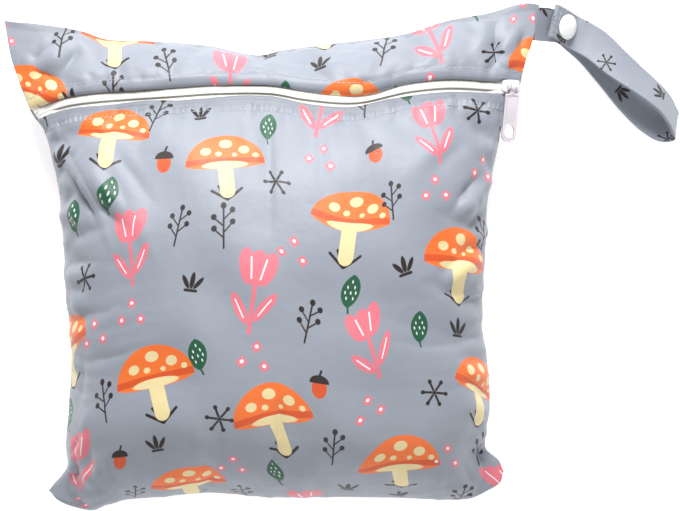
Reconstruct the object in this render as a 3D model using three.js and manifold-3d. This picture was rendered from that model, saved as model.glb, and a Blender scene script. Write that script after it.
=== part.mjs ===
// A zipped cloth bag, filled and lying on its back, with a snap strap on its right side seam.
// Millimetres. +X is the strap side, +Y the top edge, +Z up. The origin is the middle of the
// flat patch that the bag rests on. Shares in the tables are of the named size in the note
// above each table.

import * as THREE from 'three'
import { mergeVertices } from 'three/addons/utils/BufferGeometryUtils.js'
import Module from 'manifold-3d'

const wasm = await Module()
wasm.setup()

// Bag
const bagWidth = 300 // upper corner to upper corner
const bagHeight = 270 // lower edge to upper edge
const bagDepth = 98 // floor to the highest point of the front
const seamHeight = 43 // side seam above the floor
const backSwell = 60 // how far the back would hang below its seam with no floor under it
const clothWall = 1.5
const seamGap = 0.3 // between two pieces that meet
const earLength = 15 // flattened cloth at each lower corner
const cornerLength = 24 // flattened cloth at each upper corner

// Zipper
const bandWidth = 8.4 // open band between the two folded cloth edges
const zipRecess = 3.2 // the band lies this far below the cloth around it
const recessReach = 7.5
const lipRise = 3.0 // puffed lip of the upper cloth
const lipReach = 8
const tapeWall = 0.8
const tapeLap = 3 // tape that runs on under each cloth edge
const lapGap = 0.75 // between the tape and the cloth over it
const tapeStart = 2.4 // left end of the tapes from the left seam
const tapeEnd = 2.3 // right end of the tapes from the right seam
const coilWidth = 4.6
const coilRise = 2.0
const coilInset = 9 // end of the coil from the left seam

// Slider and pull
const sliderLength = 10.6
const sliderWidth = 7.6
const sliderInset = 4.7 // middle of the slider from the right seam
const sliderWall = 1.2
const postWidth = 1.6 // between the tapes, where the slider parts them
const runGap = 0.4 // slider around the coil and tapes, and pull around its bar
const bridgeWidth = 5.4 // outside of the two lugs
const lugWall = 0.9
const barRadius = 0.75
const barSide = -1.2 // bar from the middle of the zipper
const noseShare = 0.78 // width of the slider's nose, of sliderWidth
const sliderCorner = 1.1
const edgeBevel = 0.3
const joinLap = 0.4 // how far the solids of the slider run into each other
const footShare = 0.8 // width of the slider's under plate, of sliderWidth
const footBack = 1.4 // middle of the under plate behind the middle of the slider
const postAhead = 0.3 // post from the middle of the slider
const postLength = 1.9
const pullLength = 30.4 // bar to the far end
const pullWidth = 8.4
const pullNeck = 8.0
const pullWall = 1.7
const pullRecess = 0.35
const pullRim = 1.1
const pullHoleLength = 7.4
const pullHoleWidth = 5.8
const eyeWall = 0.8
const bladeStart = 1.6 // from the eye to the blade
const bladeRound = 0.9 // rounding of the blade's foot, of half its width
const pullDroop = 16 // degrees below the plane of the slider, where the pull meets the seam

// Strap and snap
const strapWidth = 19
const strapWall = 1.6 // two layers of cloth
const strapReach = 80 // seam to the far bend, to the right
const strapFall = 60 // how far the far bend lies below the root, towards the lower edge
const strapChamfer = 0.6
const strapRootBelow = 1.2 // root's upper edge below the upper corner
const snapDiameter = 14.3
const snapRise = 2.0
const socketDiameter = 10.6
const socketRise = 2.6
const backCapRise = 1.3
const snapAlong = 17.5 // snap from the seam, along the strap
const strapTail = 11 // free end from the middle of the snap
const tailTurn = 14 // degrees that the free end is turned about the snap

// Grid counts
const acrossCells = 34
const frontCells = 22
const topCells = 9
const tapeCells = 36
const backCells = 18
const coilCells = 40
const strapCells = 44

// Seam outline. across is a share of bagWidth from the middle, up a share of bagHeight.
const leftSeam = [
  { up: 0.019, across: -0.427 },
  { up: 0.041, across: -0.403 },
  { up: 0.071, across: -0.386 },
  { up: 0.116, across: -0.388 },
  { up: 0.193, across: -0.381 },
  { up: 0.301, across: -0.375 },
  { up: 0.436, across: -0.386 },
  { up: 0.529, across: -0.390 },
  { up: 0.631, across: -0.398 },
  { up: 0.712, across: -0.414 },
  { up: 0.772, across: -0.431 },
  { up: 0.807, across: -0.454 },
  { up: 0.880, across: -0.482 },
  { up: 0.934, across: -0.500 },
  { up: 0.998, across: -0.512 },
]
const rightSeam = [
  { up: 0.058, across: 0.426 },
  { up: 0.079, across: 0.413 },
  { up: 0.100, across: 0.390 },
  { up: 0.124, across: 0.386 },
  { up: 0.207, across: 0.394 },
  { up: 0.295, across: 0.388 },
  { up: 0.378, across: 0.377 },
  { up: 0.454, across: 0.381 },
  { up: 0.550, across: 0.386 },
  { up: 0.633, across: 0.390 },
  { up: 0.722, across: 0.407 },
  { up: 0.803, across: 0.424 },
  { up: 0.857, across: 0.450 },
  { up: 0.890, across: 0.458 },
  { up: 0.917, across: 0.465 },
  { up: 0.959, across: 0.480 },
  { up: 1.031, across: 0.495 },
]
const lowerSeam = [
  { across: -0.427, up: 0.019 },
  { across: -0.405, up: 0.000 },
  { across: -0.377, up: -0.012 },
  { across: -0.347, up: -0.016 },
  { across: -0.317, up: -0.006 },
  { across: -0.282, up: 0.004 },
  { across: -0.217, up: 0.010 },
  { across: -0.127, up: 0.019 },
  { across: -0.011, up: 0.010 },
  { across: 0.119, up: 0.010 },
  { across: 0.231, up: 0.008 },
  { across: 0.321, up: 0.004 },
  { across: 0.366, up: 0.008 },
  { across: 0.396, up: 0.023 },
  { across: 0.418, up: 0.039 },
  { across: 0.426, up: 0.058 },
]
const upperSeam = [
  { across: -0.512, up: 0.998 },
  { across: -0.467, up: 0.989 },
  { across: -0.373, up: 0.973 },
  { across: -0.321, up: 0.954 },
  { across: -0.254, up: 0.951 },
  { across: -0.131, up: 0.941 },
  { across: -0.037, up: 0.921 },
  { across: 0.017, up: 0.932 },
  { across: 0.101, up: 0.944 },
  { across: 0.241, up: 0.965 },
  { across: 0.321, up: 0.993 },
  { across: 0.403, up: 1.010 },
  { across: 0.472, up: 1.033 },
  { across: 0.495, up: 1.031 },
]
const zipLine = [
  { across: -0.460, up: 0.798 },
  { across: -0.394, up: 0.822 },
  { across: -0.314, up: 0.832 },
  { across: -0.192, up: 0.840 },
  { across: -0.110, up: 0.846 },
  { across: -0.009, up: 0.846 },
  { across: 0.052, up: 0.834 },
  { across: 0.119, up: 0.826 },
  { across: 0.161, up: 0.828 },
  { across: 0.241, up: 0.849 },
  { across: 0.321, up: 0.859 },
  { across: 0.403, up: 0.857 },
  { across: 0.460, up: 0.855 },
]

// Sections up the bag. swell is a share of the full swell, seam a share of seamHeight, and
// edge the power of the rounding at the side seams: 0.5 is round and 1 is a lens.
const sections = [
  { up: 0.00, swell: 0.94, seam: 0.80, edge: 0.52 },
  { up: 0.15, swell: 0.97, seam: 0.94, edge: 0.48 },
  { up: 0.40, swell: 1.00, seam: 1.00, edge: 0.46 },
  { up: 0.55, swell: 0.98, seam: 1.00, edge: 0.48 },
  { up: 0.68, swell: 0.86, seam: 0.96, edge: 0.56 },
  { up: 0.78, swell: 0.66, seam: 0.88, edge: 0.70 },
  { up: 0.86, swell: 0.50, seam: 0.80, edge: 0.82 },
  { up: 0.93, swell: 0.38, seam: 0.74, edge: 0.88 },
  { up: 1.00, swell: 0.26, seam: 0.70, edge: 0.90 },
]
const sidePower = 2.3 // of the section's half outline
const lowerRound = 0.20 // share of the height that the lower edge takes to round over
const upperRound = 0.10

// Folds of the front. across and length are shares of bagWidth, up a share of bagHeight,
// width of bagWidth across the fold, lift of bagDepth, turn in degrees from +X.
const folds = [
  { across: -0.345, up: 0.665, turn: -58, length: 0.20, width: 0.044, lift: 0.040 },
  { across: -0.300, up: 0.632, turn: -58, length: 0.24, width: 0.046, lift: 0.042 },
  { across: -0.325, up: 0.640, turn: -58, length: 0.24, width: 0.034, lift: -0.042 },
  { across: -0.272, up: 0.600, turn: -62, length: 0.26, width: 0.046, lift: -0.038 },
  { across: -0.340, up: 0.500, turn: -70, length: 0.20, width: 0.044, lift: -0.030 },
  { across: -0.350, up: 0.330, turn: 76, length: 0.20, width: 0.048, lift: -0.026 },
  { across: 0.365, up: 0.620, turn: 53, length: 0.18, width: 0.044, lift: 0.038 },
  { across: 0.340, up: 0.560, turn: 45, length: 0.20, width: 0.042, lift: -0.036 },
  { across: 0.348, up: 0.475, turn: 37, length: 0.16, width: 0.044, lift: 0.034 },
  { across: 0.330, up: 0.330, turn: -40, length: 0.18, width: 0.050, lift: -0.028 },
  { across: -0.350, up: 0.085, turn: 62, length: 0.12, width: 0.036, lift: -0.038 },
  { across: -0.325, up: 0.060, turn: 80, length: 0.12, width: 0.032, lift: 0.030 },
  { across: 0.372, up: 0.100, turn: 150, length: 0.12, width: 0.036, lift: -0.036 },
  { across: 0.040, up: 0.110, turn: -8, length: 0.34, width: 0.060, lift: -0.020 },
  { across: -0.409, up: 0.918, turn: 70, length: 0.08, width: 0.050, lift: 0.040 },
  { across: -0.425, up: 0.880, turn: -12, length: 0.14, width: 0.036, lift: -0.038 },
  { across: 0.445, up: 0.935, turn: 72, length: 0.16, width: 0.034, lift: 0.040 },
  { across: 0.410, up: 0.930, turn: 76, length: 0.16, width: 0.036, lift: -0.034 },
  { across: 0.180, up: 0.900, turn: 24, length: 0.30, width: 0.060, lift: 0.030 },
  { across: -0.150, up: 0.890, turn: -4, length: 0.34, width: 0.060, lift: 0.024 },
]
const foldFade = 9 // height of the cloth above its seam at which a fold has its whole lift

// Strap route. out is a share of strapReach, fall of strapFall, rise of the root's height.
// turn is the heading of the strap's width in degrees and lean its tilt out of level.
const strapOut = [
  { out: 0.00, fall: 0.000, rise: 1.00, turn: 77, lean: 0 },
  { out: 0.09, fall: 0.000, rise: 0.80, turn: 80, lean: 0 },
  { out: 0.18, fall: 0.010, rise: 0.58, turn: 80, lean: 0 },
  { out: 0.28, fall: 0.090, rise: 0.38, turn: 66, lean: -4 },
  { out: 0.40, fall: 0.220, rise: 0.22, turn: 50, lean: -14 },
  { out: 0.55, fall: 0.455, rise: 0.16, turn: 42, lean: -20 },
  { out: 0.70, fall: 0.700, rise: 0.16, turn: 42, lean: -20 },
  { out: 0.83, fall: 0.870, rise: 0.17, turn: 52, lean: -22 },
  { out: 0.93, fall: 0.955, rise: 0.21, turn: 66, lean: -28 },
  { out: 1.00, fall: 0.945, rise: 0.33, turn: 78, lean: -31 },
]
const strapBack = [
  { out: 0.970, fall: 0.850, rise: 0.50, turn: 70, lean: -44 },
  { out: 0.900, fall: 0.720, rise: 0.62, turn: 60, lean: -46 },
  { out: 0.810, fall: 0.615, rise: 0.68, turn: 52, lean: -42 },
  { out: 0.690, fall: 0.490, rise: 0.70, turn: 47, lean: -34 },
  { out: 0.555, fall: 0.345, rise: 0.68, turn: 48, lean: -20 },
  { out: 0.415, fall: 0.175, rise: 0.62, turn: 58, lean: -8 },
]
const strapEnd = { turn: 82, lean: 0 } // where the free end lies on the root

const degree = Math.PI / 180
const halfGap = seamGap / 2

function smooth(edge0, edge1, x) {
  const k = Math.min(1, Math.max(0, (x - edge0) / (edge1 - edge0)))
  return k * k * (3 - 2 * k)
}

function mix(a, b, k) {
  return a + (b - a) * k
}

// A cubic through the rows of a table, with each slope taken from the two neighbours.
function through(rows, from, to) {
  const slopes = rows.map((row, i) => {
    const before = rows[Math.max(0, i - 1)]
    const after = rows[Math.min(rows.length - 1, i + 1)]
    return (after[to] - before[to]) / (after[from] - before[from])
  })
  return (x) => {
    let i = 0
    while (i < rows.length - 2 && x > rows[i + 1][from]) i += 1
    const span = rows[i + 1][from] - rows[i][from]
    const k = Math.min(1, Math.max(0, (x - rows[i][from]) / span))
    const rest = 1 - k
    const start = (1 + 2 * k) * rest * rest * rows[i][to]
    const end = k * k * (3 - 2 * k) * rows[i + 1][to]
    return start + end + span * k * rest * (rest * slopes[i] - k * slopes[i + 1])
  }
}

const leftAcross = through(leftSeam, 'up', 'across')
const rightAcross = through(rightSeam, 'up', 'across')
const lowerUp = through(lowerSeam, 'across', 'up')
const upperUp = through(upperSeam, 'across', 'up')
const zipUp = through(zipLine, 'across', 'up')
const swellAt = through(sections, 'up', 'swell')
const seamAt = through(sections, 'up', 'seam')
const edgeAt = through(sections, 'up', 'edge')

function flat(across, up) {
  return new THREE.Vector2(across * bagWidth, (up - 0.5) * bagHeight)
}

function sideEdge(rows, across, t) {
  const up = mix(rows[0].up, rows.at(-1).up, t)
  return flat(across(up), up)
}

function crossEdge(rows, height, s) {
  const across = mix(rows[0].across, rows.at(-1).across, s)
  return flat(across, height(across))
}

// The seam outline filled in: s runs from the left seam to the right, t from bottom to top.
function outline(s, t) {
  const left = sideEdge(leftSeam, leftAcross, t)
  const right = sideEdge(rightSeam, rightAcross, t)
  const lower = crossEdge(lowerSeam, lowerUp, s)
  const upper = crossEdge(upperSeam, upperUp, s)
  const lowerLeft = flat(leftSeam[0].across, leftSeam[0].up)
  const upperLeft = flat(leftSeam.at(-1).across, leftSeam.at(-1).up)
  const lowerRight = flat(rightSeam[0].across, rightSeam[0].up)
  const upperRight = flat(rightSeam.at(-1).across, rightSeam.at(-1).up)
  const point = left.multiplyScalar(1 - s).addScaledVector(right, s)
  point.addScaledVector(lower, 1 - t).addScaledVector(upper, t)
  point.addScaledVector(lowerLeft, -(1 - s) * (1 - t)).addScaledVector(upperLeft, -(1 - s) * t)
  point.addScaledVector(lowerRight, -s * (1 - t)).addScaledVector(upperRight, -s * t)
  return point
}

// How far a point lies above the middle of the zipper, in the plane of the seams.
function aboveZip(point) {
  const up = zipUp(point.x / bagWidth)
  return point.y - (up - 0.5) * bagHeight
}

// The t at which the cloth lies a given distance above the zipper.
function zipRun(s, offset) {
  let low = 0.5
  let high = 1
  for (let i = 0; i < 26; i += 1) {
    const t = (low + high) / 2
    if (aboveZip(outline(s, t)) < offset) low = t
    else high = t
  }
  return (low + high) / 2
}

// How much of its swell the cloth keeps near the flattened corners.
function cornerShare(point) {
  const lowerLeft = outline(0, 0)
  const lowerRight = outline(1, 0)
  const upperLeft = outline(0, 1)
  const upperRight = outline(1, 1)
  const keep = (corner, length) => 1 - Math.exp(-((point.distanceTo(corner) / length) ** 2))
  const lower = keep(lowerLeft, earLength) * keep(lowerRight, earLength)
  return lower * keep(upperLeft, cornerLength) * keep(upperRight, cornerLength)
}

function quarterRound(x, length) {
  const k = Math.min(1, Math.max(0, x / length))
  return Math.sqrt(1 - (1 - k) ** 2)
}

function pillow(point, s, t) {
  const side = (1 - Math.abs(2 * s - 1) ** sidePower) ** edgeAt(t)
  const ends = quarterRound(t, lowerRound) * quarterRound(1 - t, upperRound)
  return swellAt(t) * side * ends * cornerShare(point)
}

function foldLift(point) {
  let lift = 0
  for (const fold of folds) {
    const centre = flat(fold.across, fold.up)
    const away = point.clone().sub(centre).rotateAround(new THREE.Vector2(), -fold.turn * degree)
    const along = (2 * away.x) / (fold.length * bagWidth)
    const beside = (2 * away.y) / (fold.width * bagWidth)
    if (Math.abs(along) < 1) {
      lift += fold.lift * bagDepth * Math.exp(-beside * beside) * (1 - along * along) ** 2
    }
  }
  return lift
}

// The inner face of the front cloth, with the valley that the zipper lies in.
function frontPoint(s, t, withLip = true) {
  const point = outline(s, t)
  const height = (bagDepth - clothWall - seamHeight) * pillow(point, s, t)
  const away = aboveZip(point)
  const fade = smooth(0, foldFade, height)
  let lift = foldLift(point) * (1 - Math.exp(-((away / bandWidth) ** 2)))
  lift -= zipRecess * Math.exp(-((away / recessReach) ** 2))
  if (withLip && away > 0) lift += lipRise * Math.exp(-(((away - bandWidth) / lipReach) ** 2))
  const rise = halfGap + height + lift * fade
  return new THREE.Vector3(point.x, point.y, seamHeight * seamAt(t) + rise)
}

// The inner face of the back cloth, flattened by what it rests on.
function backPoint(s, t) {
  const point = outline(s, t)
  const fall = halfGap + backSwell * pillow(point, s, t)
  return new THREE.Vector3(point.x, point.y, Math.max(clothWall, seamHeight * seamAt(t) - fall))
}

function difference(a, b) {
  return new THREE.Vector3().subVectors(a, b)
}

// A closed sheet. inner(a, v) gives the cloth's inner face, and the wall is laid on along the
// normal, on the side that out points to, from the level that lower(a) gives.
function sheet(columns, rows, inner, wall, out, lower = () => 0) {
  const grid = []
  for (let j = 0; j <= rows; j += 1) {
    grid.push([])
    for (let i = 0; i <= columns; i += 1) grid[j].push(inner(i / columns, j / rows))
  }
  const faces = [[], []]
  for (let j = 0; j <= rows; j += 1) {
    for (let i = 0; i <= columns; i += 1) {
      const along = difference(grid[j][Math.min(columns, i + 1)], grid[j][Math.max(0, i - 1)])
      const up = difference(grid[Math.min(rows, j + 1)][i], grid[Math.max(0, j - 1)][i])
      const normal = along.cross(up).normalize().multiplyScalar(out)
      const level = lower(i / columns)
      faces[0].push(grid[j][i].clone().addScaledVector(normal, level))
      faces[1].push(grid[j][i].clone().addScaledVector(normal, level + wall))
    }
  }
  const points = [...faces[0], ...faces[1]]
  const index = []
  const count = faces[0].length
  const at = (layer, i, j) => layer * count + j * (columns + 1) + i
  const quad = (a, b, c, d) => index.push(a, b, c, a, c, d)
  for (let j = 0; j < rows; j += 1) {
    for (let i = 0; i < columns; i += 1) {
      quad(at(1, i, j), at(1, i + 1, j), at(1, i + 1, j + 1), at(1, i, j + 1))
      quad(at(0, i, j), at(0, i, j + 1), at(0, i + 1, j + 1), at(0, i + 1, j))
    }
  }
  for (let i = 0; i < columns; i += 1) {
    quad(at(0, i, 0), at(0, i + 1, 0), at(1, i + 1, 0), at(1, i, 0))
    quad(at(0, i + 1, rows), at(0, i, rows), at(1, i, rows), at(1, i + 1, rows))
  }
  for (let j = 0; j < rows; j += 1) {
    quad(at(0, 0, j + 1), at(0, 0, j), at(1, 0, j), at(1, 0, j + 1))
    quad(at(0, columns, j), at(0, columns, j + 1), at(1, columns, j + 1), at(1, columns, j))
  }
  return closed(points, index, out)
}

// A convex section carried along frames, each with a place and two axes.
function sweep(frames, section) {
  const points = []
  const index = []
  const sides = section.length
  for (const frame of frames) {
    for (const [beside, above] of section) {
      const point = frame.place.clone().addScaledVector(frame.beside, beside)
      points.push(point.addScaledVector(frame.above, above))
    }
  }
  for (let k = 0; k < frames.length - 1; k += 1) {
    for (let n = 0; n < sides; n += 1) {
      const next = (n + 1) % sides
      const a = k * sides + n
      const b = k * sides + next
      index.push(a, b, b + sides, a, b + sides, a + sides)
    }
  }
  const last = (frames.length - 1) * sides
  for (let n = 1; n < sides - 1; n += 1) {
    index.push(0, n + 1, n)
    index.push(last, last + n, last + n + 1)
  }
  return closed(points, index, 1)
}

function closed(points, index, out) {
  const geometry = new THREE.BufferGeometry()
  const numbers = points.flatMap((point) => [point.x, point.y, point.z])
  geometry.setAttribute('position', new THREE.Float32BufferAttribute(numbers, 3))
  geometry.setIndex(out > 0 ? index : index.toReversed())
  geometry.computeVertexNormals()
  return geometry
}

function solid(geometry) {
  const bare = geometry.clone()
  bare.deleteAttribute('normal')
  bare.deleteAttribute('uv')
  const merged = mergeVertices(bare, 1e-4)
  const vertProperties = new Float32Array(merged.attributes.position.array)
  const triVerts = new Uint32Array(merged.index.array)
  return new wasm.Manifold(new wasm.Mesh({ numProp: 3, vertProperties, triVerts }))
}

function shell(body) {
  const { vertProperties, triVerts } = body.getMesh()
  const geometry = new THREE.BufferGeometry()
  geometry.setAttribute('position', new THREE.BufferAttribute(vertProperties, 3))
  geometry.setIndex(new THREE.BufferAttribute(triVerts, 1))
  geometry.computeVertexNormals()
  return geometry
}

// Cells are finer beside the side seams, where the cloth turns fastest.
function eased(a) {
  return (1 - Math.cos(Math.PI * a)) / 2
}

function uneased(s) {
  return Math.acos(1 - 2 * s) / Math.PI
}

// Rows are finer beside the lower edge.
function lowerEased(v) {
  const pull = 0.25
  return (v * v * (1 + pull)) / (v + pull)
}

function upperEased(v) {
  return Math.sin((Math.PI / 2) * v)
}

function frontPanel() {
  const inner = (a, v) => {
    const s = eased(a)
    return frontPoint(s, lowerEased(v) * zipRun(s, -bandWidth / 2))
  }
  return sheet(acrossCells, frontCells, inner, clothWall, 1)
}

function topPanel() {
  const inner = (a, v) => {
    const s = eased(a)
    return frontPoint(s, mix(zipRun(s, bandWidth / 2), 1, upperEased(v)))
  }
  return sheet(acrossCells, topCells, inner, clothWall, 1)
}

function backPanel() {
  const inner = (a, v) => backPoint(eased(a), mix(lowerEased(v), upperEased(v), v))
  return sheet(acrossCells, backCells, inner, clothWall, -1)
}

// Places along the zipper, as the distance in from each side seam.
const zipLeft = frontPoint(0, zipRun(0, 0))
const zipRight = frontPoint(1, zipRun(1, 0))
const zipSpan = zipRight.x - zipLeft.x
const sliderX = zipRight.x - sliderInset

function zipShare(x) {
  let low = 0
  let high = 1
  for (let i = 0; i < 26; i += 1) {
    const s = (low + high) / 2
    if (outline(s, zipRun(s, 0)).x < x) low = s
    else high = s
  }
  return (low + high) / 2
}

const tapeLow = -(tapeWall + lapGap) // under side of a tape that runs under the cloth
const tapeFlush = sliderInset + sliderLength / 2 + 1 // flush in the band, this far from the seam
const tapeSunk = tapeFlush + 7 // wholly under the cloth from here on
const tapeWide = tapeSunk + 7 // as wide as its lap from here on

function zipSide(direction) {
  const start = uneased(zipShare(zipLeft.x + tapeStart))
  const end = uneased(zipShare(zipRight.x - tapeEnd))
  const shareAt = (a) => eased(mix(start, end, a))
  const xAt = (a) => zipLeft.x + zipSpan * shareAt(a)
  const insetAt = (a) => Math.min(xAt(a) - zipLeft.x, zipRight.x - xAt(a))
  const inner = (a, v) => {
    const s = shareAt(a)
    const wide = bandWidth / 2 + tapeLap * smooth(tapeSunk, tapeWide, insetAt(a)) - seamGap
    const parted = (postWidth / 2 + seamGap) * smooth(sliderX - 2.5, sliderX - 0.5, xAt(a))
    const reach = mix(halfGap + parted, wide, v)
    return frontPoint(s, zipRun(s, direction * reach), false)
  }
  const lower = (a) => tapeLow * smooth(tapeFlush, tapeSunk, insetAt(a))
  return sheet(tapeCells, 2, inner, tapeWall, direction, lower)
}

// A frame on the cloth at a place along the zipper.
function zipFrame(s, reach) {
  const middle = frontPoint(s, zipRun(s, 0), false)
  const before = frontPoint(s - reach, zipRun(s - reach, 0), false)
  const after = frontPoint(s + reach, zipRun(s + reach, 0), false)
  const below = frontPoint(s, zipRun(s, -bandWidth / 2), false)
  const above = frontPoint(s, zipRun(s, bandWidth / 2), false)
  const along = difference(after, before).normalize()
  const up = along.clone().cross(difference(above, below)).normalize()
  return { place: middle, along, beside: up.clone().cross(along), above: up }
}

function zipCoil() {
  const frames = []
  const start = zipShare(zipLeft.x + coilInset)
  const end = zipShare(sliderX - 0.5)
  for (let k = 0; k <= coilCells; k += 1) {
    const frame = zipFrame(mix(start, end, k / coilCells), 0.004)
    frame.place.addScaledVector(frame.above, tapeWall + seamGap)
    frames.push(frame)
  }
  const flatHalf = coilWidth * 0.32
  const section = [
    [-coilWidth / 2, coilRise * 0.3],
    [-flatHalf, 0],
    [flatHalf, 0],
    [coilWidth / 2, coilRise * 0.3],
    [coilWidth / 2, coilRise * 0.6],
    [flatHalf, coilRise],
    [-flatHalf, coilRise],
    [-coilWidth / 2, coilRise * 0.6],
  ]
  return sweep(frames, section)
}

// Levels in the slider's own frame, above the inner face of the cloth.
const plateBase = tapeWall + seamGap + coilRise + runGap
const plateTop = plateBase + sliderWall
const pullRadius = barRadius + runGap + eyeWall
const barLevel = plateTop + runGap + pullRadius

function roundedPlate(length, width, nose, corner) {
  const shape = new THREE.Shape()
  const x = length / 2
  const y = width / 2
  shape.moveTo(-x + corner, -nose / 2)
  shape.lineTo(-x / 3, -y)
  shape.lineTo(x - corner, -y)
  shape.quadraticCurveTo(x, -y, x, -y + corner)
  shape.lineTo(x, y - corner)
  shape.quadraticCurveTo(x, y, x - corner, y)
  shape.lineTo(-x / 3, y)
  shape.lineTo(-x + corner, nose / 2)
  shape.quadraticCurveTo(-x, nose / 2, -x, nose / 2 - corner)
  shape.lineTo(-x, -nose / 2 + corner)
  shape.quadraticCurveTo(-x, -nose / 2, -x + corner, -nose / 2)
  return shape
}

function raised(shape, low, high, bevel = 0) {
  const settings = { depth: high - low - 2 * bevel, curveSegments: 5, bevelEnabled: bevel > 0 }
  Object.assign(settings, { bevelThickness: bevel, bevelSize: bevel, bevelOffset: -bevel })
  const geometry = new THREE.ExtrudeGeometry(shape, { ...settings, bevelSegments: 1 })
  return geometry.translate(0, 0, low + bevel)
}

function box(x0, x1, y0, y1, z0, z1) {
  const geometry = new THREE.BoxGeometry(x1 - x0, y1 - y0, z1 - z0)
  return geometry.translate((x0 + x1) / 2, (y0 + y1) / 2, (z0 + z1) / 2)
}

function rod(radius, length, sides) {
  return new THREE.CylinderGeometry(radius, radius, length, sides).rotateZ(Math.PI / 2)
}

function slider() {
  const half = sliderLength / 2
  const flange = sliderWidth / 2 - runGap - coilWidth / 2
  const nose = sliderWidth * noseShare
  const upper = roundedPlate(sliderLength, sliderWidth, nose, sliderCorner)
  let body = solid(raised(upper, plateBase, plateTop, edgeBevel))
  const under = roundedPlate(sliderLength * 0.72, sliderWidth * footShare, nose * footShare, 0.8)
  const plateUnder = raised(under, -seamGap - sliderWall, -seamGap).translate(-footBack, 0, 0)
  body = body.add(solid(plateUnder))
  const postEnd = postAhead + postLength
  const halfPost = postWidth / 2
  const post = box(postAhead, postEnd, -halfPost, halfPost, -seamGap - joinLap, plateBase + joinLap)
  body = body.add(solid(post))
  for (const side of [-1, 1]) {
    const outer = side * (sliderWidth / 2 - edgeBevel)
    const inside = side * (sliderWidth / 2 - flange)
    const low = tapeWall + runGap
    const y = [outer, inside].sort((a, b) => a - b)
    body = body.add(solid(box(-half * 0.3, half * 0.8, y[0], y[1], low, plateBase + joinLap)))
    const lugOut = side * (bridgeWidth / 2)
    const lugIn = side * (bridgeWidth / 2 - lugWall)
    const x = [lugOut, lugIn].sort((a, b) => a - b)
    const reach = barRadius + 0.7
    const base = plateTop - joinLap
    body = body.add(solid(box(x[0], x[1], barSide - reach, barSide + reach, base, barLevel)))
    const ear = rod(reach, lugWall, 16).translate((lugOut + lugIn) / 2, barSide, barLevel)
    body = body.add(solid(ear))
  }
  return shell(body.add(solid(rod(barRadius, bridgeWidth - lugWall, 16).translate(0, barSide, barLevel))))
}

// The pull in its own frame: the bar runs along X through the origin, the pull hangs to -Y.
function pullOutline(inset) {
  const shape = new THREE.Shape()
  const end = -pullLength + inset
  const foot = pullWidth / 2 - inset
  const neck = pullNeck / 2 - inset
  const start = -pullRadius - bladeStart - inset
  const round = Math.min(foot, pullWidth / 2) * bladeRound
  shape.moveTo(-neck + 1, start)
  shape.quadraticCurveTo(-neck, start, -neck, start - 1)
  shape.lineTo(-foot, end + round)
  shape.quadraticCurveTo(-foot, end, -foot + round, end)
  shape.lineTo(foot - round, end)
  shape.quadraticCurveTo(foot, end, foot, end + round)
  shape.lineTo(neck, start - 1)
  shape.quadraticCurveTo(neck, start, neck - 1, start)
  return shape
}

function pull() {
  const half = pullWall / 2
  const eyeWidth = bridgeWidth - 2 * lugWall - 2 * runGap
  let body = solid(raised(pullOutline(0), -half, half, edgeBevel))
  const neckLow = -pullRadius - bladeStart - edgeBevel * 2
  body = body.add(solid(box(-eyeWidth / 2, eyeWidth / 2, neckLow, 0, -half, half)))
  body = body.add(solid(rod(pullRadius, eyeWidth, 20)))
  body = body.subtract(solid(rod(barRadius + runGap, eyeWidth + 2, 20)))
  const hole = new THREE.Shape()
  const holeAt = -pullLength + pullRim + 0.9 + pullHoleLength / 2
  hole.absellipse(0, holeAt, pullHoleWidth / 2, pullHoleLength / 2, 0, 2 * Math.PI)
  body = body.subtract(solid(raised(hole, -pullWall, pullWall)))
  for (const side of [-1, 1]) {
    const level = side * half
    const low = Math.min(level - side * pullRecess, level + side)
    const high = Math.max(level - side * pullRecess, level + side)
    body = body.subtract(solid(raised(pocket(holeAt), low, high)))
  }
  return shell(body)
}

function pocket(holeAt) {
  const shape = new THREE.Shape()
  const top = -pullRadius - bladeStart - pullRim
  const foot = holeAt + pullHoleLength / 2 + pullRim
  const wide = pullNeck / 2 - pullRim
  shape.moveTo(-wide, top - 1)
  shape.quadraticCurveTo(-wide, top, -wide + 1, top)
  shape.lineTo(wide - 1, top)
  shape.quadraticCurveTo(wide, top, wide, top - 1)
  shape.lineTo(wide + 0.3, foot)
  shape.lineTo(-wide - 0.3, foot)
  return shape
}

// The strap's root on the right seam, and its route out and back.
const rightRun = bagHeight * (rightSeam.at(-1).up - rightSeam[0].up)
const rootRun = 1 - (strapRootBelow + strapWidth / 2) / rightRun
const legPitch = strapWall + socketRise + 2 * seamGap // from leg to leg, at the snap
const rootPlace = frontPoint(1, rootRun)
rootPlace.x += clothWall + seamGap
rootPlace.z -= halfGap

function strapPoint(row) {
  const x = rootPlace.x + row.out * strapReach
  const y = rootPlace.y - row.fall * strapFall
  return new THREE.Vector3(x, y, row.rise * rootPlace.z)
}

function strapFrame(line, rows, k) {
  const count = rows.length - 1
  const i = Math.min(count - 1, Math.floor(k * count))
  const share = k * count - i
  const turn = mix(rows[i].turn, rows[i + 1].turn, share) * degree
  const lean = mix(rows[i].lean, rows[i + 1].lean, share) * degree
  const along = line.getTangent(k)
  const beside = new THREE.Vector3(Math.cos(turn), Math.sin(turn), Math.tan(lean))
  beside.addScaledVector(along, -beside.dot(along)).normalize()
  return { place: line.getPoint(k), along, beside, above: along.clone().cross(beside) }
}

// The leg that leaves the seam, by itself, and frames on it at a distance from the seam.
const firstLeg = new THREE.CatmullRomCurve3(strapOut.map(strapPoint), false, 'centripetal')

function legFrame(distance) {
  return strapFrame(firstLeg, strapOut, firstLeg.getUtoTmapping(0, distance))
}

function overLeg(distance) {
  const frame = legFrame(distance)
  const aside = Math.max(0, snapAlong - distance) * Math.tan(tailTurn * degree)
  return frame.place.addScaledVector(frame.above, legPitch).addScaledVector(frame.beside, aside)
}

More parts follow.
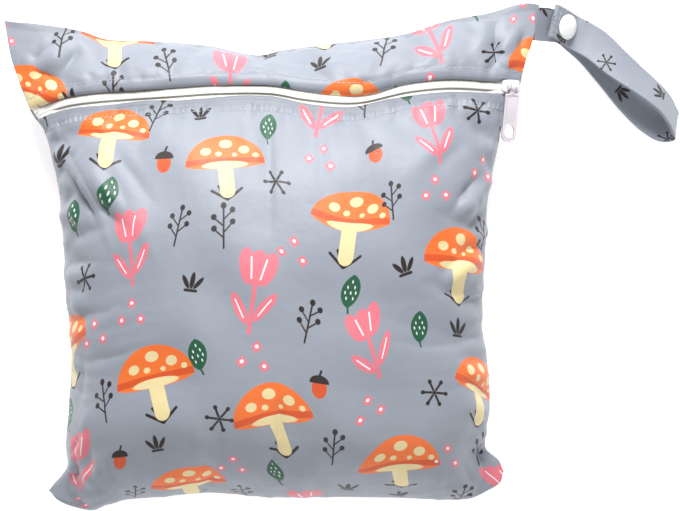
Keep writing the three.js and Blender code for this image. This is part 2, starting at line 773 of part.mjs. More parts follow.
function strapPath() {
  const ends = [snapAlong + 8, snapAlong, snapAlong - 4, snapAlong - strapTail]
  const points = [...strapOut, ...strapBack].map(strapPoint)
  const rows = [...strapOut, ...strapBack, ...ends.map(() => strapEnd)]
  const line = new THREE.CatmullRomCurve3([...points, ...ends.map(overLeg)], false, 'centripetal')
  return { line, rows }
}

function strap() {
  const { line, rows } = strapPath()
  const frames = []
  for (let k = 0; k <= strapCells; k += 1) frames.push(strapFrame(line, rows, k / strapCells))
  const x = strapWidth / 2
  const z = strapWall / 2
  const inside = x - strapChamfer
  const section = [[-x, -z * 0.4], [-inside, -z], [inside, -z], [x, -z * 0.4]]
  section.push([x, z * 0.4], [inside, z], [-inside, z], [-x, z * 0.4])
  return sweep(frames, section)
}

function lathe(profile) {
  return new THREE.LatheGeometry(profile.map(([r, z]) => new THREE.Vector2(r, z)), 24).rotateX(Math.PI / 2)
}

function snapCap() {
  const r = snapDiameter / 2
  return lathe([[0, 0], [r - 0.4, 0], [r, 0.5], [r - 0.3, 1.1], [r * 0.72, snapRise * 0.85], [0, snapRise]])
}

function snapSocket() {
  const r = socketDiameter / 2
  return lathe([[0, 0], [r, 0], [r, socketRise * 0.7], [r * 0.8, socketRise], [0, socketRise]])
}

function snapBackCap() {
  const r = snapDiameter / 2
  const low = -backCapRise
  return lathe([[0, low], [r * 0.8, low * 0.85], [r, low * 0.3], [r - 0.4, 0], [0, 0]])
}

const finishes = {
  cloth: { color: 0xa9b1c1, roughness: 0.55, metalness: 0 },
  tape: { color: 0xf4f2ec, roughness: 0.8, metalness: 0 },
  coil: { color: 0xfaf8f2, roughness: 0.5, metalness: 0 },
  plastic: { color: 0xefe9ee, roughness: 0.35, metalness: 0 },
  snap: { color: 0xfbfbfb, roughness: 0.25, metalness: 0 },
}

const group = new THREE.Group()

function add(name, geometry, finish, parent = group) {
  const mesh = new THREE.Mesh(geometry, new THREE.MeshStandardMaterial(finishes[finish]))
  mesh.name = name
  parent.add(mesh)
  return mesh
}

function placed(frame, parent = group) {
  const holder = new THREE.Group()
  const basis = new THREE.Matrix4().makeBasis(frame.along, frame.beside, frame.above)
  holder.quaternion.setFromRotationMatrix(basis)
  holder.position.copy(frame.place)
  parent.add(holder)
  return holder
}

add('front_panel', frontPanel(), 'cloth')
add('top_panel', topPanel(), 'cloth')
add('back_panel', backPanel(), 'cloth')
add('zipper_tape_lower', zipSide(-1), 'tape')
add('zipper_tape_upper', zipSide(1), 'tape')
add('zipper_coil', zipCoil(), 'coil')

const sliderHolder = placed(zipFrame(zipShare(sliderX), 0.012))
add('zipper_slider', slider(), 'plastic', sliderHolder)

const pullHolder = new THREE.Group()
pullHolder.position.set(0, barSide, barLevel)
pullHolder.rotation.x = pullDroop * degree
sliderHolder.add(pullHolder)
add('pull_tab', pull(), 'plastic', pullHolder)

add('strap', strap(), 'cloth')
const snapHolder = placed(legFrame(snapAlong))
add('snap_cap', snapCap(), 'snap', snapHolder).position.z = legPitch + strapWall / 2 + seamGap
add('snap_socket', snapSocket(), 'snap', snapHolder).position.z = strapWall / 2 + seamGap
add('snap_back_cap', snapBackCap(), 'snap', snapHolder).position.z = -strapWall / 2 - seamGap

export default group
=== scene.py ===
import math
import bpy
import numpy as np
from mathutils import Matrix, Vector


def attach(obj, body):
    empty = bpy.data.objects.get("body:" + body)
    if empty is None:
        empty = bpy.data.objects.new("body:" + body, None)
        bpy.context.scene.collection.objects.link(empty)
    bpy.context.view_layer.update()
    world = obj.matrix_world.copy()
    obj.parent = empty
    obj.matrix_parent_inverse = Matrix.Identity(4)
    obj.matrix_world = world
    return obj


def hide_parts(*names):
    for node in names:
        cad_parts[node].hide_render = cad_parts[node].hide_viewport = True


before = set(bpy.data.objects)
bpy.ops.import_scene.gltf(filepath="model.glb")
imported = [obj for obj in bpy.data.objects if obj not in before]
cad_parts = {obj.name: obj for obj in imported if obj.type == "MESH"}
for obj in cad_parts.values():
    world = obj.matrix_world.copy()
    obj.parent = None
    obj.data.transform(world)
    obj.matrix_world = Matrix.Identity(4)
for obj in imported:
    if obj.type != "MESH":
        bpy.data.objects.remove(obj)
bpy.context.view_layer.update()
print("frame loaded", sorted(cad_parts))

mm = 0.001  # the values below are millimetres, the meshes are metres

# The bag's own sizes, as the construction has them
bag = {
    "width": 300, "height": 270, "depth": 98, "seamHeight": 43, "backSwell": 60,
    "clothWall": 1.5, "gap": 0.3, "earLength": 15, "cornerLength": 24,
    "sidePower": 2.3, "lowerRound": 0.20, "upperRound": 0.10, "foldFade": 9,
}
zipper = {
    "band": 8.4, "recess": 3.2, "recessReach": 7.5, "lipRise": 3.0, "lipReach": 8,
    "tapeWall": 0.8, "tapeLap": 3, "lapGap": 0.75, "tapeStart": 0.3, "tapeEnd": 0.4,
    "coilWidth": 4.6, "coilRise": 2.0, "coilStart": 3, "coilSeat": 0.05,
    "coreWidth": 0.9, "coreCrown": 0.26, "coreDrop": 0.16,
    "toothPitch": 0.95, "toothLength": 0.72, "toothWidth": 0.98, "toothRise": 0.24,
    "toothLift": 0.2, "toothSide": 0.46,
}
slider = {
    "length": 10.6, "width": 7.6, "inset": 4.7, "wall": 1.2, "runGap": 0.4, "postWidth": 1.6,
    "bridgeWidth": 5.4, "lugWall": 0.9, "barRadius": 0.75, "barSide": -1.2, "eyeWall": 0.8,
    "lugRound": 0.7, "nose": 0.78, "noseRound": 1.1, "sideRound": 1.5, "tailRound": 1.6,
    "underLength": 0.72, "underWidth": 0.78, "underBack": 1.4, "joinLap": 0.4,
}
pull = {
    "length": 30.4, "width": 8.4, "neck": 8.0, "wall": 1.7, "recess": 0.35, "rim": 1.1,
    "holeLength": 7.4, "holeWidth": 5.8, "droop": 16, "bladeStart": 1.6, "neckRound": 1.3,
    "footRound": 0.97, "holeInset": 0.9, "collar": 0.75, "eyeReach": 2.4,
}
strap = {
    "width": 19, "wall": 1.6, "reach": 80, "fall": 60, "rootBelow": 1.2,
    "snapAlong": 17.5, "tail": 11, "tailTurn": 14, "stations": 240,
    "rootLap": 3.0, "foldLength": 4.6, "foldSwell": 0.5,
}
snap = {
    "diameter": 14.3, "rise": 2.0, "socketRise": 2.6,
    "shoulder": 1.12, "crownReach": 0.95, "crownPower": 0.8,
}

# Seam outline: shares of the height and of the width from the middle
leftSeam = [
    (0.019, -0.427), (0.041, -0.403), (0.071, -0.386), (0.116, -0.388), (0.193, -0.381),
    (0.301, -0.375), (0.436, -0.386), (0.529, -0.390), (0.631, -0.398), (0.712, -0.414),
    (0.772, -0.431), (0.807, -0.454), (0.880, -0.482), (0.934, -0.500), (0.998, -0.512),
]
rightSeam = [
    (0.058, 0.426), (0.079, 0.413), (0.100, 0.390), (0.124, 0.386), (0.207, 0.394),
    (0.295, 0.388), (0.378, 0.377), (0.454, 0.381), (0.550, 0.386), (0.633, 0.390),
    (0.722, 0.407), (0.803, 0.424), (0.857, 0.450), (0.890, 0.458), (0.917, 0.465),
    (0.959, 0.480), (1.031, 0.495),
]
# Lower, upper and zipper lines: shares of the width, then of the height
lowerSeam = [
    (-0.427, 0.019), (-0.405, 0.000), (-0.377, -0.012), (-0.347, -0.016), (-0.317, -0.006),
    (-0.282, 0.004), (-0.217, 0.010), (-0.127, 0.019), (-0.011, 0.010), (0.119, 0.010),
    (0.231, 0.008), (0.321, 0.004), (0.366, 0.008), (0.396, 0.023), (0.418, 0.039),
    (0.426, 0.058),
]
upperSeam = [
    (-0.512, 0.998), (-0.467, 0.989), (-0.373, 0.973), (-0.321, 0.954), (-0.254, 0.951),
    (-0.131, 0.941), (-0.037, 0.921), (0.017, 0.932), (0.101, 0.944), (0.241, 0.965),
    (0.321, 0.993), (0.403, 1.010), (0.472, 1.033), (0.495, 1.031),
]
zipLine = [
    (-0.460, 0.798), (-0.394, 0.822), (-0.314, 0.832), (-0.192, 0.840), (-0.110, 0.846),
    (-0.009, 0.846), (0.052, 0.834), (0.119, 0.826), (0.161, 0.828), (0.241, 0.849),
    (0.321, 0.859), (0.403, 0.857), (0.460, 0.855),
]
# Sections up the bag: up, swell, seam, edge
sections = [
    (0.00, 0.94, 0.80, 0.52), (0.15, 0.97, 0.94, 0.48), (0.40, 1.00, 1.00, 0.46),
    (0.55, 0.98, 1.00, 0.48), (0.68, 0.86, 0.96, 0.56), (0.78, 0.66, 0.88, 0.70),
    (0.86, 0.50, 0.80, 0.82), (0.93, 0.38, 0.74, 0.88), (1.00, 0.26, 0.70, 0.90),
]
# Folds: across, up, turn, length, width, lift
mainFolds = [
    (-0.345, 0.665, -58, 0.20, 0.044, 0.040), (-0.300, 0.632, -58, 0.24, 0.046, 0.042),
    (-0.325, 0.640, -58, 0.24, 0.034, -0.042), (-0.272, 0.600, -62, 0.26, 0.046, -0.038),
    (-0.340, 0.500, -70, 0.20, 0.044, -0.030), (-0.350, 0.330, 76, 0.20, 0.048, -0.026),
    (0.365, 0.620, 53, 0.18, 0.044, 0.038), (0.340, 0.560, 45, 0.20, 0.042, -0.036),
    (0.348, 0.475, 37, 0.16, 0.044, 0.034), (0.330, 0.330, -40, 0.18, 0.050, -0.028),
    (-0.350, 0.085, 62, 0.12, 0.036, -0.038), (-0.325, 0.060, 80, 0.12, 0.032, 0.030),
    (0.372, 0.100, 150, 0.12, 0.036, -0.036), (0.040, 0.110, -8, 0.34, 0.060, -0.020),
    (-0.409, 0.918, 70, 0.08, 0.050, 0.040), (-0.425, 0.880, -12, 0.14, 0.036, -0.038),
    (0.445, 0.935, 72, 0.16, 0.034, 0.040), (0.410, 0.930, 76, 0.16, 0.036, -0.034),
    (0.180, 0.900, 24, 0.30, 0.060, 0.030), (-0.150, 0.890, -4, 0.34, 0.060, 0.024),
]
# Finer creases that only the finished cloth has
fineFolds = [
    (-0.372, 0.700, -56, 0.10, 0.016, -0.016), (-0.352, 0.640, -60, 0.16, 0.014, -0.014),
    (-0.318, 0.585, -64, 0.18, 0.016, 0.014), (-0.360, 0.585, -66, 0.12, 0.014, 0.013),
    (-0.255, 0.665, -52, 0.18, 0.022, -0.010), (-0.235, 0.560, -66, 0.20, 0.024, 0.010),
    (-0.365, 0.420, -78, 0.14, 0.016, 0.012), (-0.352, 0.250, 82, 0.14, 0.016, -0.012),
    (-0.345, 0.150, 74, 0.12, 0.018, 0.012), (-0.362, 0.120, 58, 0.09, 0.012, -0.016),
    (-0.372, 0.072, 40, 0.07, 0.010, 0.014), (-0.335, 0.090, 88, 0.10, 0.012, -0.014),
    (-0.300, 0.055, 104, 0.09, 0.014, -0.012), (-0.250, 0.045, 98, 0.08, 0.014, 0.010),
    (0.388, 0.655, 58, 0.10, 0.014, 0.014), (0.352, 0.640, 50, 0.16, 0.016, -0.012),
    (0.372, 0.545, 46, 0.12, 0.014, 0.012), (0.330, 0.500, 38, 0.14, 0.018, -0.012),
    (0.366, 0.420, 26, 0.10, 0.014, -0.012), (0.366, 0.350, -10, 0.10, 0.014, 0.010),
    (0.360, 0.250, -34, 0.12, 0.016, -0.012), (0.382, 0.150, -62, 0.09, 0.014, 0.012),
    (0.398, 0.092, 146, 0.07, 0.010, 0.013), (0.352, 0.060, 118, 0.10, 0.014, -0.012),
    (0.300, 0.045, 96, 0.08, 0.014, 0.010), (0.220, 0.050, 90, 0.07, 0.016, -0.009),
    (-0.446, 0.940, 82, 0.08, 0.014, -0.014), (-0.440, 0.862, -24, 0.09, 0.014, 0.012),
    (-0.385, 0.905, 60, 0.09, 0.016, -0.012), (0.462, 0.970, 80, 0.09, 0.012, -0.014),
    (0.430, 0.985, 96, 0.09, 0.014, 0.012), (0.384, 0.960, 68, 0.12, 0.018, 0.010),
    (0.060, 0.905, 12, 0.14, 0.020, -0.010), (-0.060, 0.895, -10, 0.14, 0.020, 0.009),
]

# Creases in millimetres, from end to end: x, y, x, y, reach to each side, lift
creases = [
    (-120, 60, -95, 28, 3.4, 3.0), (-116, 52, -94, 18, 2.4, -2.8), (-106, 53, -76, 19, 4.2, 3.4),
    (-98, 33, -78, 15, 2.8, -1.8), (-119, 30, -108, -2, 3.0, 1.2), (-117, 19, -101, -9, 3.0, -1.0),
    (117, 42, 100, 21, 3.6, 2.4), (112, 48, 96, 29, 3.0, -1.8), (114, 29, 103, 13, 2.6, -1.6),
    (113, 2, 93, -14, 3.6, 1.8), (112, 11, 97, -2, 3.0, -1.4), (98, 70, 70, 43, 7.0, 1.6),
    (106, 66, 82, 45, 5.0, -1.6), (117, -23, 102, -40, 4.0, 0.9), (140, 133, 123, 111, 3.2, 2.0),
    (143, 131, 135, 116, 3.5, -2.0), (135, 115, 124, 101, 3.0, 1.2), (131, 131, 111, 115, 4.0, 1.0),
    (-130, 118, -122, 108, 9.0, 2.0), (-145, 114, -134, 107, 3.0, 0.8),
    (-134, 106, -121, 105, 3.0, 0.8), (-138, 116, -131, 109, 3.0, -0.8),
    (-119, 123, -113, 108, 5.0, -1.2), (-115, -122, -105, -117, 1.8, -1.6),
    (-109, -106, -108, -121, 2.0, -1.6), (-113, -107, -112, -122, 2.2, 1.3),
    (-106, -114, -98, -127, 2.4, 1.3), (-101, -119, -95, -129, 2.4, -0.9),
    (113, -106, 119, -118, 2.4, -1.6), (117, -111, 125, -116, 3.0, 1.2),
    (107, -97, 117, -82, 4.0, 1.1), (102, -102, 112, -91, 4.0, -0.9),
]


def throughRows(rows, column=1):
    xs = np.array([row[0] for row in rows], float)
    ys = np.array([row[column] for row in rows], float)
    before = np.maximum(np.arange(len(xs)) - 1, 0)
    after = np.minimum(np.arange(len(xs)) + 1, len(xs) - 1)
    slopes = (ys[after] - ys[before]) / (xs[after] - xs[before])

    def at(x):
        x = np.asarray(x, float)
        i = np.clip(np.searchsorted(xs, x, side="left") - 1, 0, len(xs) - 2)
        span = xs[i + 1] - xs[i]
        k = np.clip((x - xs[i]) / span, 0, 1)
        rest = 1 - k
        ends = (1 + 2 * k) * rest * rest * ys[i] + k * k * (3 - 2 * k) * ys[i + 1]
        return ends + span * k * rest * (rest * slopes[i] - k * slopes[i + 1])
    return at


leftAcross, rightAcross = throughRows(leftSeam), throughRows(rightSeam)
lowerUp, upperUp, zipUp = throughRows(lowerSeam), throughRows(upperSeam), throughRows(zipLine)
swellAt, seamAt, edgeAt = (throughRows(sections, column) for column in (1, 2, 3))


def mix(a, b, k):
    return a + (b - a) * k


def smooth(low, high, x):
    k = np.clip((x - low) / (high - low), 0, 1)
    return k * k * (3 - 2 * k)


def flat(across, up):
    return np.stack([across * bag["width"], (up - 0.5) * bag["height"]], -1)


def sideEdge(rows, across, t):
    up = mix(rows[0][0], rows[-1][0], t)
    return flat(across(up), up)


def crossEdge(rows, height, s):
    across = mix(rows[0][0], rows[-1][0], s)
    return flat(across, height(across))


def outline(s, t):
    s, t = np.broadcast_arrays(np.asarray(s, float), np.asarray(t, float))
    left, right = sideEdge(leftSeam, leftAcross, t), sideEdge(rightSeam, rightAcross, t)
    lower, upper = crossEdge(lowerSeam, lowerUp, s), crossEdge(upperSeam, upperUp, s)
    corners = [flat(np.array(rows[i][1]), np.array(rows[i][0]))
               for rows in (leftSeam, rightSeam) for i in (0, -1)]
    s, t = s[..., None], t[..., None]
    point = (1 - s) * left + s * right + (1 - t) * lower + t * upper
    point = point - (1 - s) * ((1 - t) * corners[0] + t * corners[1])
    return point - s * ((1 - t) * corners[2] + t * corners[3])


def aboveZip(point):
    return point[..., 1] - (zipUp(point[..., 0] / bag["width"]) - 0.5) * bag["height"]


def zipRun(s, offset):
    s = np.asarray(s, float)
    low, high = np.full(s.shape, 0.5), np.ones(s.shape)
    for _ in range(26):
        t = (low + high) / 2
        below = aboveZip(outline(s, t)) < offset
        low, high = np.where(below, t, low), np.where(below, high, t)
    return (low + high) / 2


def cornerShare(point):
    share = 1
    for s, t, length in ((0, 0, "earLength"), (1, 0, "earLength"),
                         (0, 1, "cornerLength"), (1, 1, "cornerLength")):
        away = np.linalg.norm(point - outline(s, t), axis=-1) / bag[length]
        share = share * (1 - np.exp(-away ** 2))
    return share


def quarterRound(x, length):
    return np.sqrt(1 - (1 - np.clip(x / length, 0, 1)) ** 2)


def pillow(point, s, t):
    side = (1 - np.abs(2 * s - 1) ** bag["sidePower"]) ** edgeAt(t)
    ends = quarterRound(t, bag["lowerRound"]) * quarterRound(1 - t, bag["upperRound"])
    return swellAt(t) * side * ends * cornerShare(point)


def foldLift(point, folds):
    lift = np.zeros(point.shape[:-1])
    for across, up, turn, length, width, rise in folds:
        away = point - flat(np.array(across), np.array(up))
        c, s = math.cos(math.radians(turn)), math.sin(math.radians(turn))
        along = 2 * (away[..., 0] * c + away[..., 1] * s) / (length * bag["width"])
        beside = 2 * (away[..., 1] * c - away[..., 0] * s) / (width * bag["width"])
        shape = np.exp(-beside ** 2) * np.clip(1 - along ** 2, 0, None) ** 2
        lift += rise * bag["depth"] * shape
    return lift


def creaseLift(point):
    lift = np.zeros(point.shape[:-1])
    for x0, y0, x1, y1, reach, rise in creases:
        long = math.dist((x0, y0), (x1, y1))
        c, s = (x1 - x0) / long, (y1 - y0) / long
        away = point - np.array([(x0 + x1) / 2, (y0 + y1) / 2])
        along = (away[..., 0] * c + away[..., 1] * s) / (long * 0.62)
        beside = (away[..., 1] * c - away[..., 0] * s) / reach
        lift += rise * np.exp(-beside ** 2) * np.clip(1 - along ** 2, 0, None) ** 2
    return lift


def frontPoint(s, t, withLip=True, folds=None):
    s, t = np.broadcast_arrays(np.asarray(s, float), np.asarray(t, float))
    point = outline(s, t)
    height = (bag["depth"] - bag["clothWall"] - bag["seamHeight"]) * pillow(point, s, t)
    away = aboveZip(point)
    lift = foldLift(point, mainFolds if folds is None else folds)
    lift = lift * (1 - np.exp(-((away / zipper["band"]) ** 2)))
    lift = lift - zipper["recess"] * np.exp(-((away / zipper["recessReach"]) ** 2))
    if withLip:
        lip = np.exp(-(((away - zipper["band"]) / zipper["lipReach"]) ** 2))
        lift = lift + np.where(away > 0, zipper["lipRise"] * lip, 0)
    rise = bag["gap"] / 2 + height + lift * smooth(0, bag["foldFade"], height)
    return np.concatenate([point, (bag["seamHeight"] * seamAt(t) + rise)[..., None]], -1)


def backPoint(s, t):
    s, t = np.broadcast_arrays(np.asarray(s, float), np.asarray(t, float))
    point = outline(s, t)
    fall = bag["gap"] / 2 + bag["backSwell"] * pillow(point, s, t)
    z = np.maximum(bag["clothWall"], bag["seamHeight"] * seamAt(t) - fall)
    return np.concatenate([point, z[..., None]], -1)


def waves(x, y, size, seed, count=9):  # a smooth, repeatable unevenness of about -1 to 1
    random = np.random.default_rng(seed)
    total = 0
    for turn, stretch, phase in zip(random.uniform(0, 2 * math.pi, count),
                                    random.uniform(0.7, 1.5, count),
                                    random.uniform(0, 2 * math.pi, count)):
        run = (x * math.cos(turn) + y * math.sin(turn)) / (size * stretch)
        total = total + np.sin(2 * math.pi * run + phase)
    return total / math.sqrt(count)


def normals(grid, out):
    normal = np.cross(np.gradient(grid, axis=1), np.gradient(grid, axis=0))
    return out * normal / np.linalg.norm(normal, axis=-1, keepdims=True)


def arcRuns(grid):  # lengths along rows and columns, from the middle column and the last row
    rows = np.linalg.norm(np.diff(grid, axis=1), axis=-1).cumsum(axis=1)
    rows = np.concatenate([np.zeros((len(grid), 1)), rows], 1)
    rows = rows - rows[:, [grid.shape[1] // 2]]
    columns = np.linalg.norm(np.diff(grid, axis=0), axis=-1).cumsum(axis=0)
    columns = np.concatenate([np.zeros((1, grid.shape[1])), columns], 0)
    return rows, columns - columns[[-1], :]


def meshObject(name, verts, faces, uv=None, sharp=55):
    mesh = bpy.data.meshes.new(name)
    mesh.from_pydata((np.asarray(verts) * mm).tolist(), [], faces)
    if uv is not None:
        layer = mesh.uv_layers.new(name="cloth")
        index = np.zeros(len(mesh.loops), np.int32)
        mesh.loops.foreach_get("vertex_index", index)
        layer.data.foreach_set("uv", (np.asarray(uv) * mm)[index].ravel())
    mesh.validate()
    mesh.shade_smooth()
    mesh.set_sharp_from_angle(angle=math.radians(sharp))
    obj = bpy.data.objects.new(name, mesh)
    bpy.context.scene.collection.objects.link(obj)
    return obj


def closedSheet(name, inner, wall, out, uv, lower=0.0):
    rows, columns = inner.shape[:2]
    normal = normals(inner, out)
    lower = np.asarray(lower, float).reshape(1, -1, 1) if np.ndim(lower) else lower
    verts = np.concatenate([(inner + normal * lower).reshape(-1, 3),
                            (inner + normal * (lower + wall)).reshape(-1, 3)])
    at = np.arange(rows * columns).reshape(rows, columns)
    top = at + rows * columns
    a, b, c, d = top[:-1, :-1], top[:-1, 1:], top[1:, 1:], top[1:, :-1]
    quads = [np.stack([a, b, c, d], -1).reshape(-1, 4)]
    a, b, c, d = at[:-1, :-1], at[1:, :-1], at[1:, 1:], at[:-1, 1:]
    quads.append(np.stack([a, b, c, d], -1).reshape(-1, 4))
    for line, over in ((at[0], top[0]), (at[-1][::-1], top[-1][::-1]),
                       (at[::-1, 0], top[::-1, 0]), (at[:, -1], top[:, -1])):
        quads.append(np.stack([line[:-1], line[1:], over[1:], over[:-1]], -1))
    faces = np.concatenate(quads)
    if out < 0:
        faces = faces[:, ::-1]
    flatUv = np.concatenate([uv.reshape(-1, 2)] * 2)
    return meshObject(name, verts, faces.tolist(), flatUv)


def eased(a):
    return (1 - np.cos(np.pi * a)) / 2


def lowerEased(v):
    return v * v * 1.25 / (v + 0.25)


def upperEased(v):
    return np.sin(np.pi / 2 * v)


# Materials
palette = {
    "ground": (0.545, 0.566, 0.606), "orange": (0.890, 0.420, 0.150),
    "rust": (0.790, 0.300, 0.095), "cream": (0.860, 0.790, 0.590), "brown": (0.130, 0.080, 0.068),
    "green": (0.070, 0.320, 0.205), "pink": (0.840, 0.440, 0.490), "white": (0.880, 0.885, 0.900),
    "tape": (0.885, 0.875, 0.850), "coil": (0.895, 0.885, 0.860), "plastic": (0.835, 0.805, 0.832),
    "snap": (0.925, 0.930, 0.930), "thread": (0.740, 0.765, 0.800),
}
cloth = {
    "roughness": 0.50, "specular": 0.48, "sheen": 0.12, "sheenRoughness": 0.45,
    "threadPitch": 0.42, "weaveBump": 0.12, "patchBump": 0.10, "crumple": 0.20,
    # hemPaintedShade and hemFade set the painted shade along the hems: its darkest share and the width of
    # its fade
    "hemPaintedShade": 0.80, "hemFade": 2.2, "stitchPitch": 2.9, "stitchReach": 1.8, "stitchBump": 0.6,
    "cellAcross": 60.0, "cellUp": 70.0, "columnStep": 0.38, "rowStep": 3.0, "lean": 0.21,
    "drift": 5.0, "sway": 30, "edgeSoftness": 0.14,
}
trim = {
    "ribPitch": 0.9, "twillPitch": 0.7, "tapeRoughness": 0.75, "tapeSheen": 0.2, "tapeBump": 0.25,
    "twistPitch": 0.35, "threadRoughness": 0.55, "threadBump": 0.3, "plasticDepth": 0.12,
}


def linear(name):
    return tuple(((c + 0.055) / 1.055) ** 2.4 if c > 0.04 else c / 12.92 for c in palette[name]) + (1,)


def feed(tree, value, socket):
    if isinstance(value, bpy.types.NodeSocket):
        tree.links.new(value, socket)
    else:
        socket.default_value = value


def calc(tree, operation, *values):
    node = tree.nodes.new("ShaderNodeMath")
    node.operation = operation
    for value, socket in zip(values, node.inputs):
        feed(tree, value, socket)
    return node.outputs[0]


def vector(tree, operation, *values):
    node = tree.nodes.new("ShaderNodeVectorMath")
    node.operation = operation
    for value, socket in zip(values, node.inputs):
        feed(tree, value, socket)
    return node.outputs["Value" if operation in ("LENGTH", "DOT_PRODUCT") else "Vector"]


def turned(tree, point, degrees):  # an angle from a socket is in radians
    node = tree.nodes.new("ShaderNodeVectorRotate")
    node.rotation_type = "Z_AXIS"
    feed(tree, point, node.inputs["Vector"])
    feed(tree, math.radians(degrees) if not isinstance(degrees, bpy.types.NodeSocket) else degrees,
         node.inputs["Angle"])
    return node.outputs[0]


def split(tree, point):
    node = tree.nodes.new("ShaderNodeSeparateXYZ")
    feed(tree, point, node.inputs[0])
    return node.outputs


def join(tree, x, y, z=0.0):
    node = tree.nodes.new("ShaderNodeCombineXYZ")
    for value, socket in zip((x, y, z), node.inputs):
        feed(tree, value, socket)
    return node.outputs[0]


def ramp(tree, value, fromLow, fromHigh, low=0.0, high=1.0, kind="LINEAR"):
    node = tree.nodes.new("ShaderNodeMapRange")
    node.interpolation_type = kind
    feed(tree, value, node.inputs["Value"])
    keys = ("From Min", "From Max", "To Min", "To Max")
    for key, number in zip(keys, (fromLow, fromHigh, low, high)):
        node.inputs[key].default_value = number
    return node.outputs[0]


# Shapes of the print, as distances from their edges in millimetres
def oval(tree, point, centre, radii, turn=0):
    point = vector(tree, "SUBTRACT", point, (*centre, 0))
    if turn:
        point = turned(tree, point, -turn)
    size = vector(tree, "LENGTH", vector(tree, "DIVIDE", point, (*radii, 1)))
    return calc(tree, "MULTIPLY", calc(tree, "SUBTRACT", size, 1.0), min(radii))


def stroke(tree, point, start, end, half):
    point = vector(tree, "SUBTRACT", point, (*start, 0))
    angle = math.degrees(math.atan2(end[1] - start[1], end[0] - start[0]))
    x, y, _ = split(tree, turned(tree, point, -angle))
    held = calc(tree, "MINIMUM", calc(tree, "MAXIMUM", x, 0.0), math.dist(start, end))
    size = vector(tree, "LENGTH", join(tree, calc(tree, "SUBTRACT", x, held), y))
    return calc(tree, "SUBTRACT", size, half)


def union(tree, shapes):
    total = shapes[0]
    for shape in shapes[1:]:
        total = calc(tree, "MINIMUM", total, shape)
    return total


def both(tree, a, b):
    return calc(tree, "MAXIMUM", a, b)


def toadstool(tree, point):
    y = split(tree, point)[1]
    cap = both(tree, oval(tree, point, (0, 0), (15.5, 13.5)), calc(tree, "MULTIPLY", y, -1.0))
    brim = both(tree, oval(tree, point, (0, 0.6), (15.5, 3.0)), calc(tree, "MULTIPLY", y, 1.0))
    shade = both(tree, cap, calc(tree, "SUBTRACT", y, 2.6))
    spots = [oval(tree, point, *spot) for spot in (
        ((-7.6, 6.0), (2.1, 1.8)), ((0.2, 9.3), (2.6, 2.0)), ((7.4, 6.4), (2.2, 1.9)),
        ((-2.6, 4.6), (1.3, 1.1)), ((12.0, 3.6), (1.2, 1.1)), ((3.6, 4.0), (1.0, 0.9)))]
    stalk = stroke(tree, point, (0, -2.5), (0.9, -12.0), 2.9)
    gills = oval(tree, point, (0, -0.6), (9.0, 1.7))
    tips = ((-5.2, -11.6), (-2.6, -9.8), (6.4, -11.2))
    tuft = [stroke(tree, point, (0.8, -15.6), tip, 0.55) for tip in tips]
    return {"orange": union(tree, [cap, brim]), "rust": shade,
            "cream": union(tree, [stalk, gills] + spots), "brown": union(tree, tuft)}


def tulip(tree, point):
    petals = [oval(tree, point, *petal) for petal in (
        ((0, 8.6), (3.4, 6.4)), ((-3.6, 8.8), (2.9, 6.6), 16), ((3.6, 8.8), (2.9, 6.6), -16))]
    stem = stroke(tree, point, (0, 3.0), (0.4, -14.5), 0.75)
    leaves = [oval(tree, point, *blade) for blade in (
        ((-4.2, -6.2), (1.9, 6.4), 32), ((4.6, -4.6), (1.9, 6.6), -30))]
    veins = [stroke(tree, point, *vein) for vein in (
        ((-1.6, 4.8), (-2.8, 12.0), 0.28), ((1.6, 4.8), (2.8, 12.0), 0.28),
        ((-2.4, -9.4), (-6.2, -3.2), 0.24), ((2.8, -8.0), (6.4, -1.4), 0.24))]
    return {"pink": union(tree, petals + [stem] + leaves), "white": union(tree, veins)}


def starburst(tree, point):
    x, y, _ = split(tree, point)
    angle = calc(tree, "ADD", calc(tree, "ARCTAN2", y, x), 10 * math.pi)
    angle = calc(tree, "PINGPONG", angle, math.pi / 6)
    size = vector(tree, "LENGTH", point)
    folded = join(tree, calc(tree, "MULTIPLY", size, calc(tree, "COSINE", angle)),
                  calc(tree, "MULTIPLY", size, calc(tree, "SINE", angle)))
    return {"brown": union(tree, [stroke(tree, folded, (2.0, 0), (7.4, 0), 0.8),
                                  oval(tree, folded, (8.4, 0), (1.6, 1.4)),
                                  oval(tree, point, (0, 0), (1.3, 1.3))])}


def gems(tree, point):
    places = ((-5.6, -2.6), (5.4, -3.4), (0.4, 5.2))
    pinks, dots = [], []
    for place in places:
        away = vector(tree, "ABSOLUTE", vector(tree, "SUBTRACT", point, (*place, 0)))
        pinks.append(calc(tree, "SUBTRACT", vector(tree, "DOT_PRODUCT", away, (0.75, 0.66, 0)), 2.1))
        dots.append(oval(tree, point, (place[0], place[1] + 0.2), (0.95, 0.95)))
    return {"pink": union(tree, pinks), "white": union(tree, dots)}


def leaf(tree, point):
    sides = [oval(tree, point, (aside, 0), (9.2, 10.5)) for aside in (-3.6, 3.6)]
    blade = both(tree, *sides)
    stem = stroke(tree, point, (0, -8.0), (1.2, -12.5), 0.6)
    x, y, _ = split(tree, point)
    flecks = []
    for rowAt, columns in ((5.6, (0,)), (2.4, (-2.2, 2.0)), (-0.8, (-3.2, 0.2, 3.2)), (-4.0, (-1.8, 2.2))):
        flecks += [oval(tree, point, (column, rowAt), (0.42, 0.95), 12) for column in columns]
    return {"green": union(tree, [blade, stem]), "white": union(tree, flecks)}


def acorn(tree, point):
    nut = oval(tree, point, (0, -1.6), (3.3, 4.6))
    lid = oval(tree, point, (0, 1.0), (4.3, 3.4))
    cup = both(tree, lid, calc(tree, "SUBTRACT", 0.6, split(tree, point)[1]))
    return {"rust": nut, "brown": union(tree, [cup, stroke(tree, point, (0, 3.8), (0.9, 6.4), 0.5)])}


